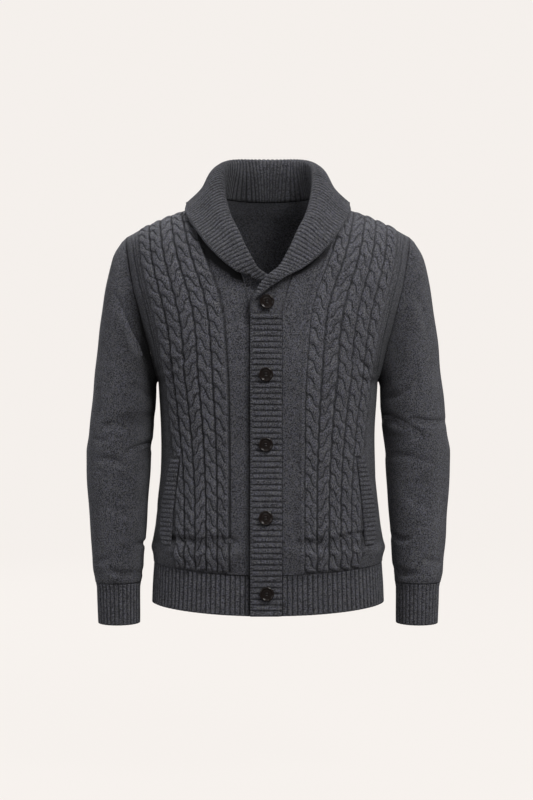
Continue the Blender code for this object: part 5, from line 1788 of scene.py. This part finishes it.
def lights():
    """Soft square lamps all round, aimed at the middle of the garment, in a pale room."""
    for name, place, side, watts, color in LAMPS:
        data = bpy.data.lights.new(name, "AREA")
        data.size, data.energy, data.color = side, watts, color
        lamp = bpy.data.objects.new(name, data)
        lamp.location = place
        lamp.rotation_mode = "QUATERNION"
        lamp.rotation_quaternion = (LIT_POINT - Vector(place)).to_track_quat("-Z", "Y")
        bpy.context.scene.collection.objects.link(lamp)
    world = bpy.data.worlds.new("studio")
    world.use_nodes = True
    air = world.node_tree.nodes["Background"]
    air.inputs["Color"].default_value = (*PALE, 1.0)
    air.inputs["Strength"].default_value = WORLD_LIGHT
    bpy.context.scene.world = world


EYE = (-0.0025, -2.4, -0.334)     # level with the garment's middle, in metres
LENS = 64.7


def camera():
    data = bpy.data.cameras.new("camera")
    data.sensor_width = 36.0
    data.lens = LENS
    data.clip_end = 50.0
    eye = bpy.data.objects.new("camera", data)
    eye.location = EYE
    eye.rotation_euler = (math.pi / 2, 0.0, 0.0)
    bpy.context.scene.collection.objects.link(eye)
    bpy.context.scene.camera = eye
    bpy.context.scene.view_settings.view_transform = "Standard"


# ---------------------------------------------------------------- the whole garment

# across a band: x, and how far its front and back face lie behind the front's own surface
OVER_BAND = ((BAND_MID + BAND_HALF - SEAM / 2, -1.2, 2.6), (14.0, -4.1, -0.8),
             (-25.0, -4.6, -1.6), (-28.4, -4.6, -2.2))
UNDER_BAND = ((BAND_MID - BAND_HALF + SEAM / 2, 1.0, 4.2), (-8.0, 1.4, 4.4), (11.5, 1.6, 4.0))


def show(shell, node, material):
    """Put a piece of cloth in the scene in the place of its CAD node."""
    thing = shell.make("knit_" + node.replace("pocket_", ""), material)
    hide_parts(node)
    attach(thing, "root")


def main():
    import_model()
    camera()
    lights()
    backdrop()
    plain = wool("plain_knit", WOOL_DARK, PLAIN_LIGHT)
    rib = wool("rib_knit", WOOL_DARK, RIB_LIGHT, 0.9)
    hands = (("_left", 1), ("_right", -1))
    fronts = {hand: cad_front(hand) for _, hand in hands}
    back = cad_back()
    panels = fronts[1], back, fronts[-1]
    collar_edge = collar_spine(*panels, 4)[0][:, -1]
    for name, hand in hands:
        show(front_piece(hand, fronts[hand], collar_edge), "front" + name, plain)
    show(back_piece(back), "back", plain)
    fine_back = back_grid(6, (5, 5))
    fine_back["pit"] = BACK_PIT * 6
    for name, hand in hands:
        fine_front = front_grid(hand, 4, CAD_COUNTS)
        fine_front["pit"] = PIT_ROW * 4
        show(sleeve_piece(fine_front, fine_back, hand), "sleeve" + name, plain)
        show(cuff_piece(hand), "cuff" + name, rib)
    for name, hand in hands:
        seam_x = ALLOWANCE[hand][0]
        ends = (None, seam_x) if hand > 0 else (seam_x, None)
        show(hem_piece(*ends, -1, fronts[hand]["grid"]), "hem_front" + name, rib)
    show(hem_piece(None, None, 1, back["grid"]), "hem_back", rib)
    show(collar_piece(*panels), "shawl_collar", rib)
    show(band_piece(OVER_BAND, -1, BUTTON_AT[1:]), "buttonhole_band", rib)
    show(band_piece(UNDER_BAND, 1, ()), "button_band", rib)
    for name, hand in hands:
        show(welt_piece(hand), "pocket_welt" + name, rib)
    buttons = horn()
    for k, (x, z) in enumerate(BUTTON_AT):
        name = "button_%d" % (k + 1)
        thing = button_piece(x, z, button_face(z), "turned_" + name, buttons)
        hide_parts(name)
        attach(thing, "root")
    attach(button_threads(sewing_thread()), "root")

    bpy.context.view_layer.update()


main()
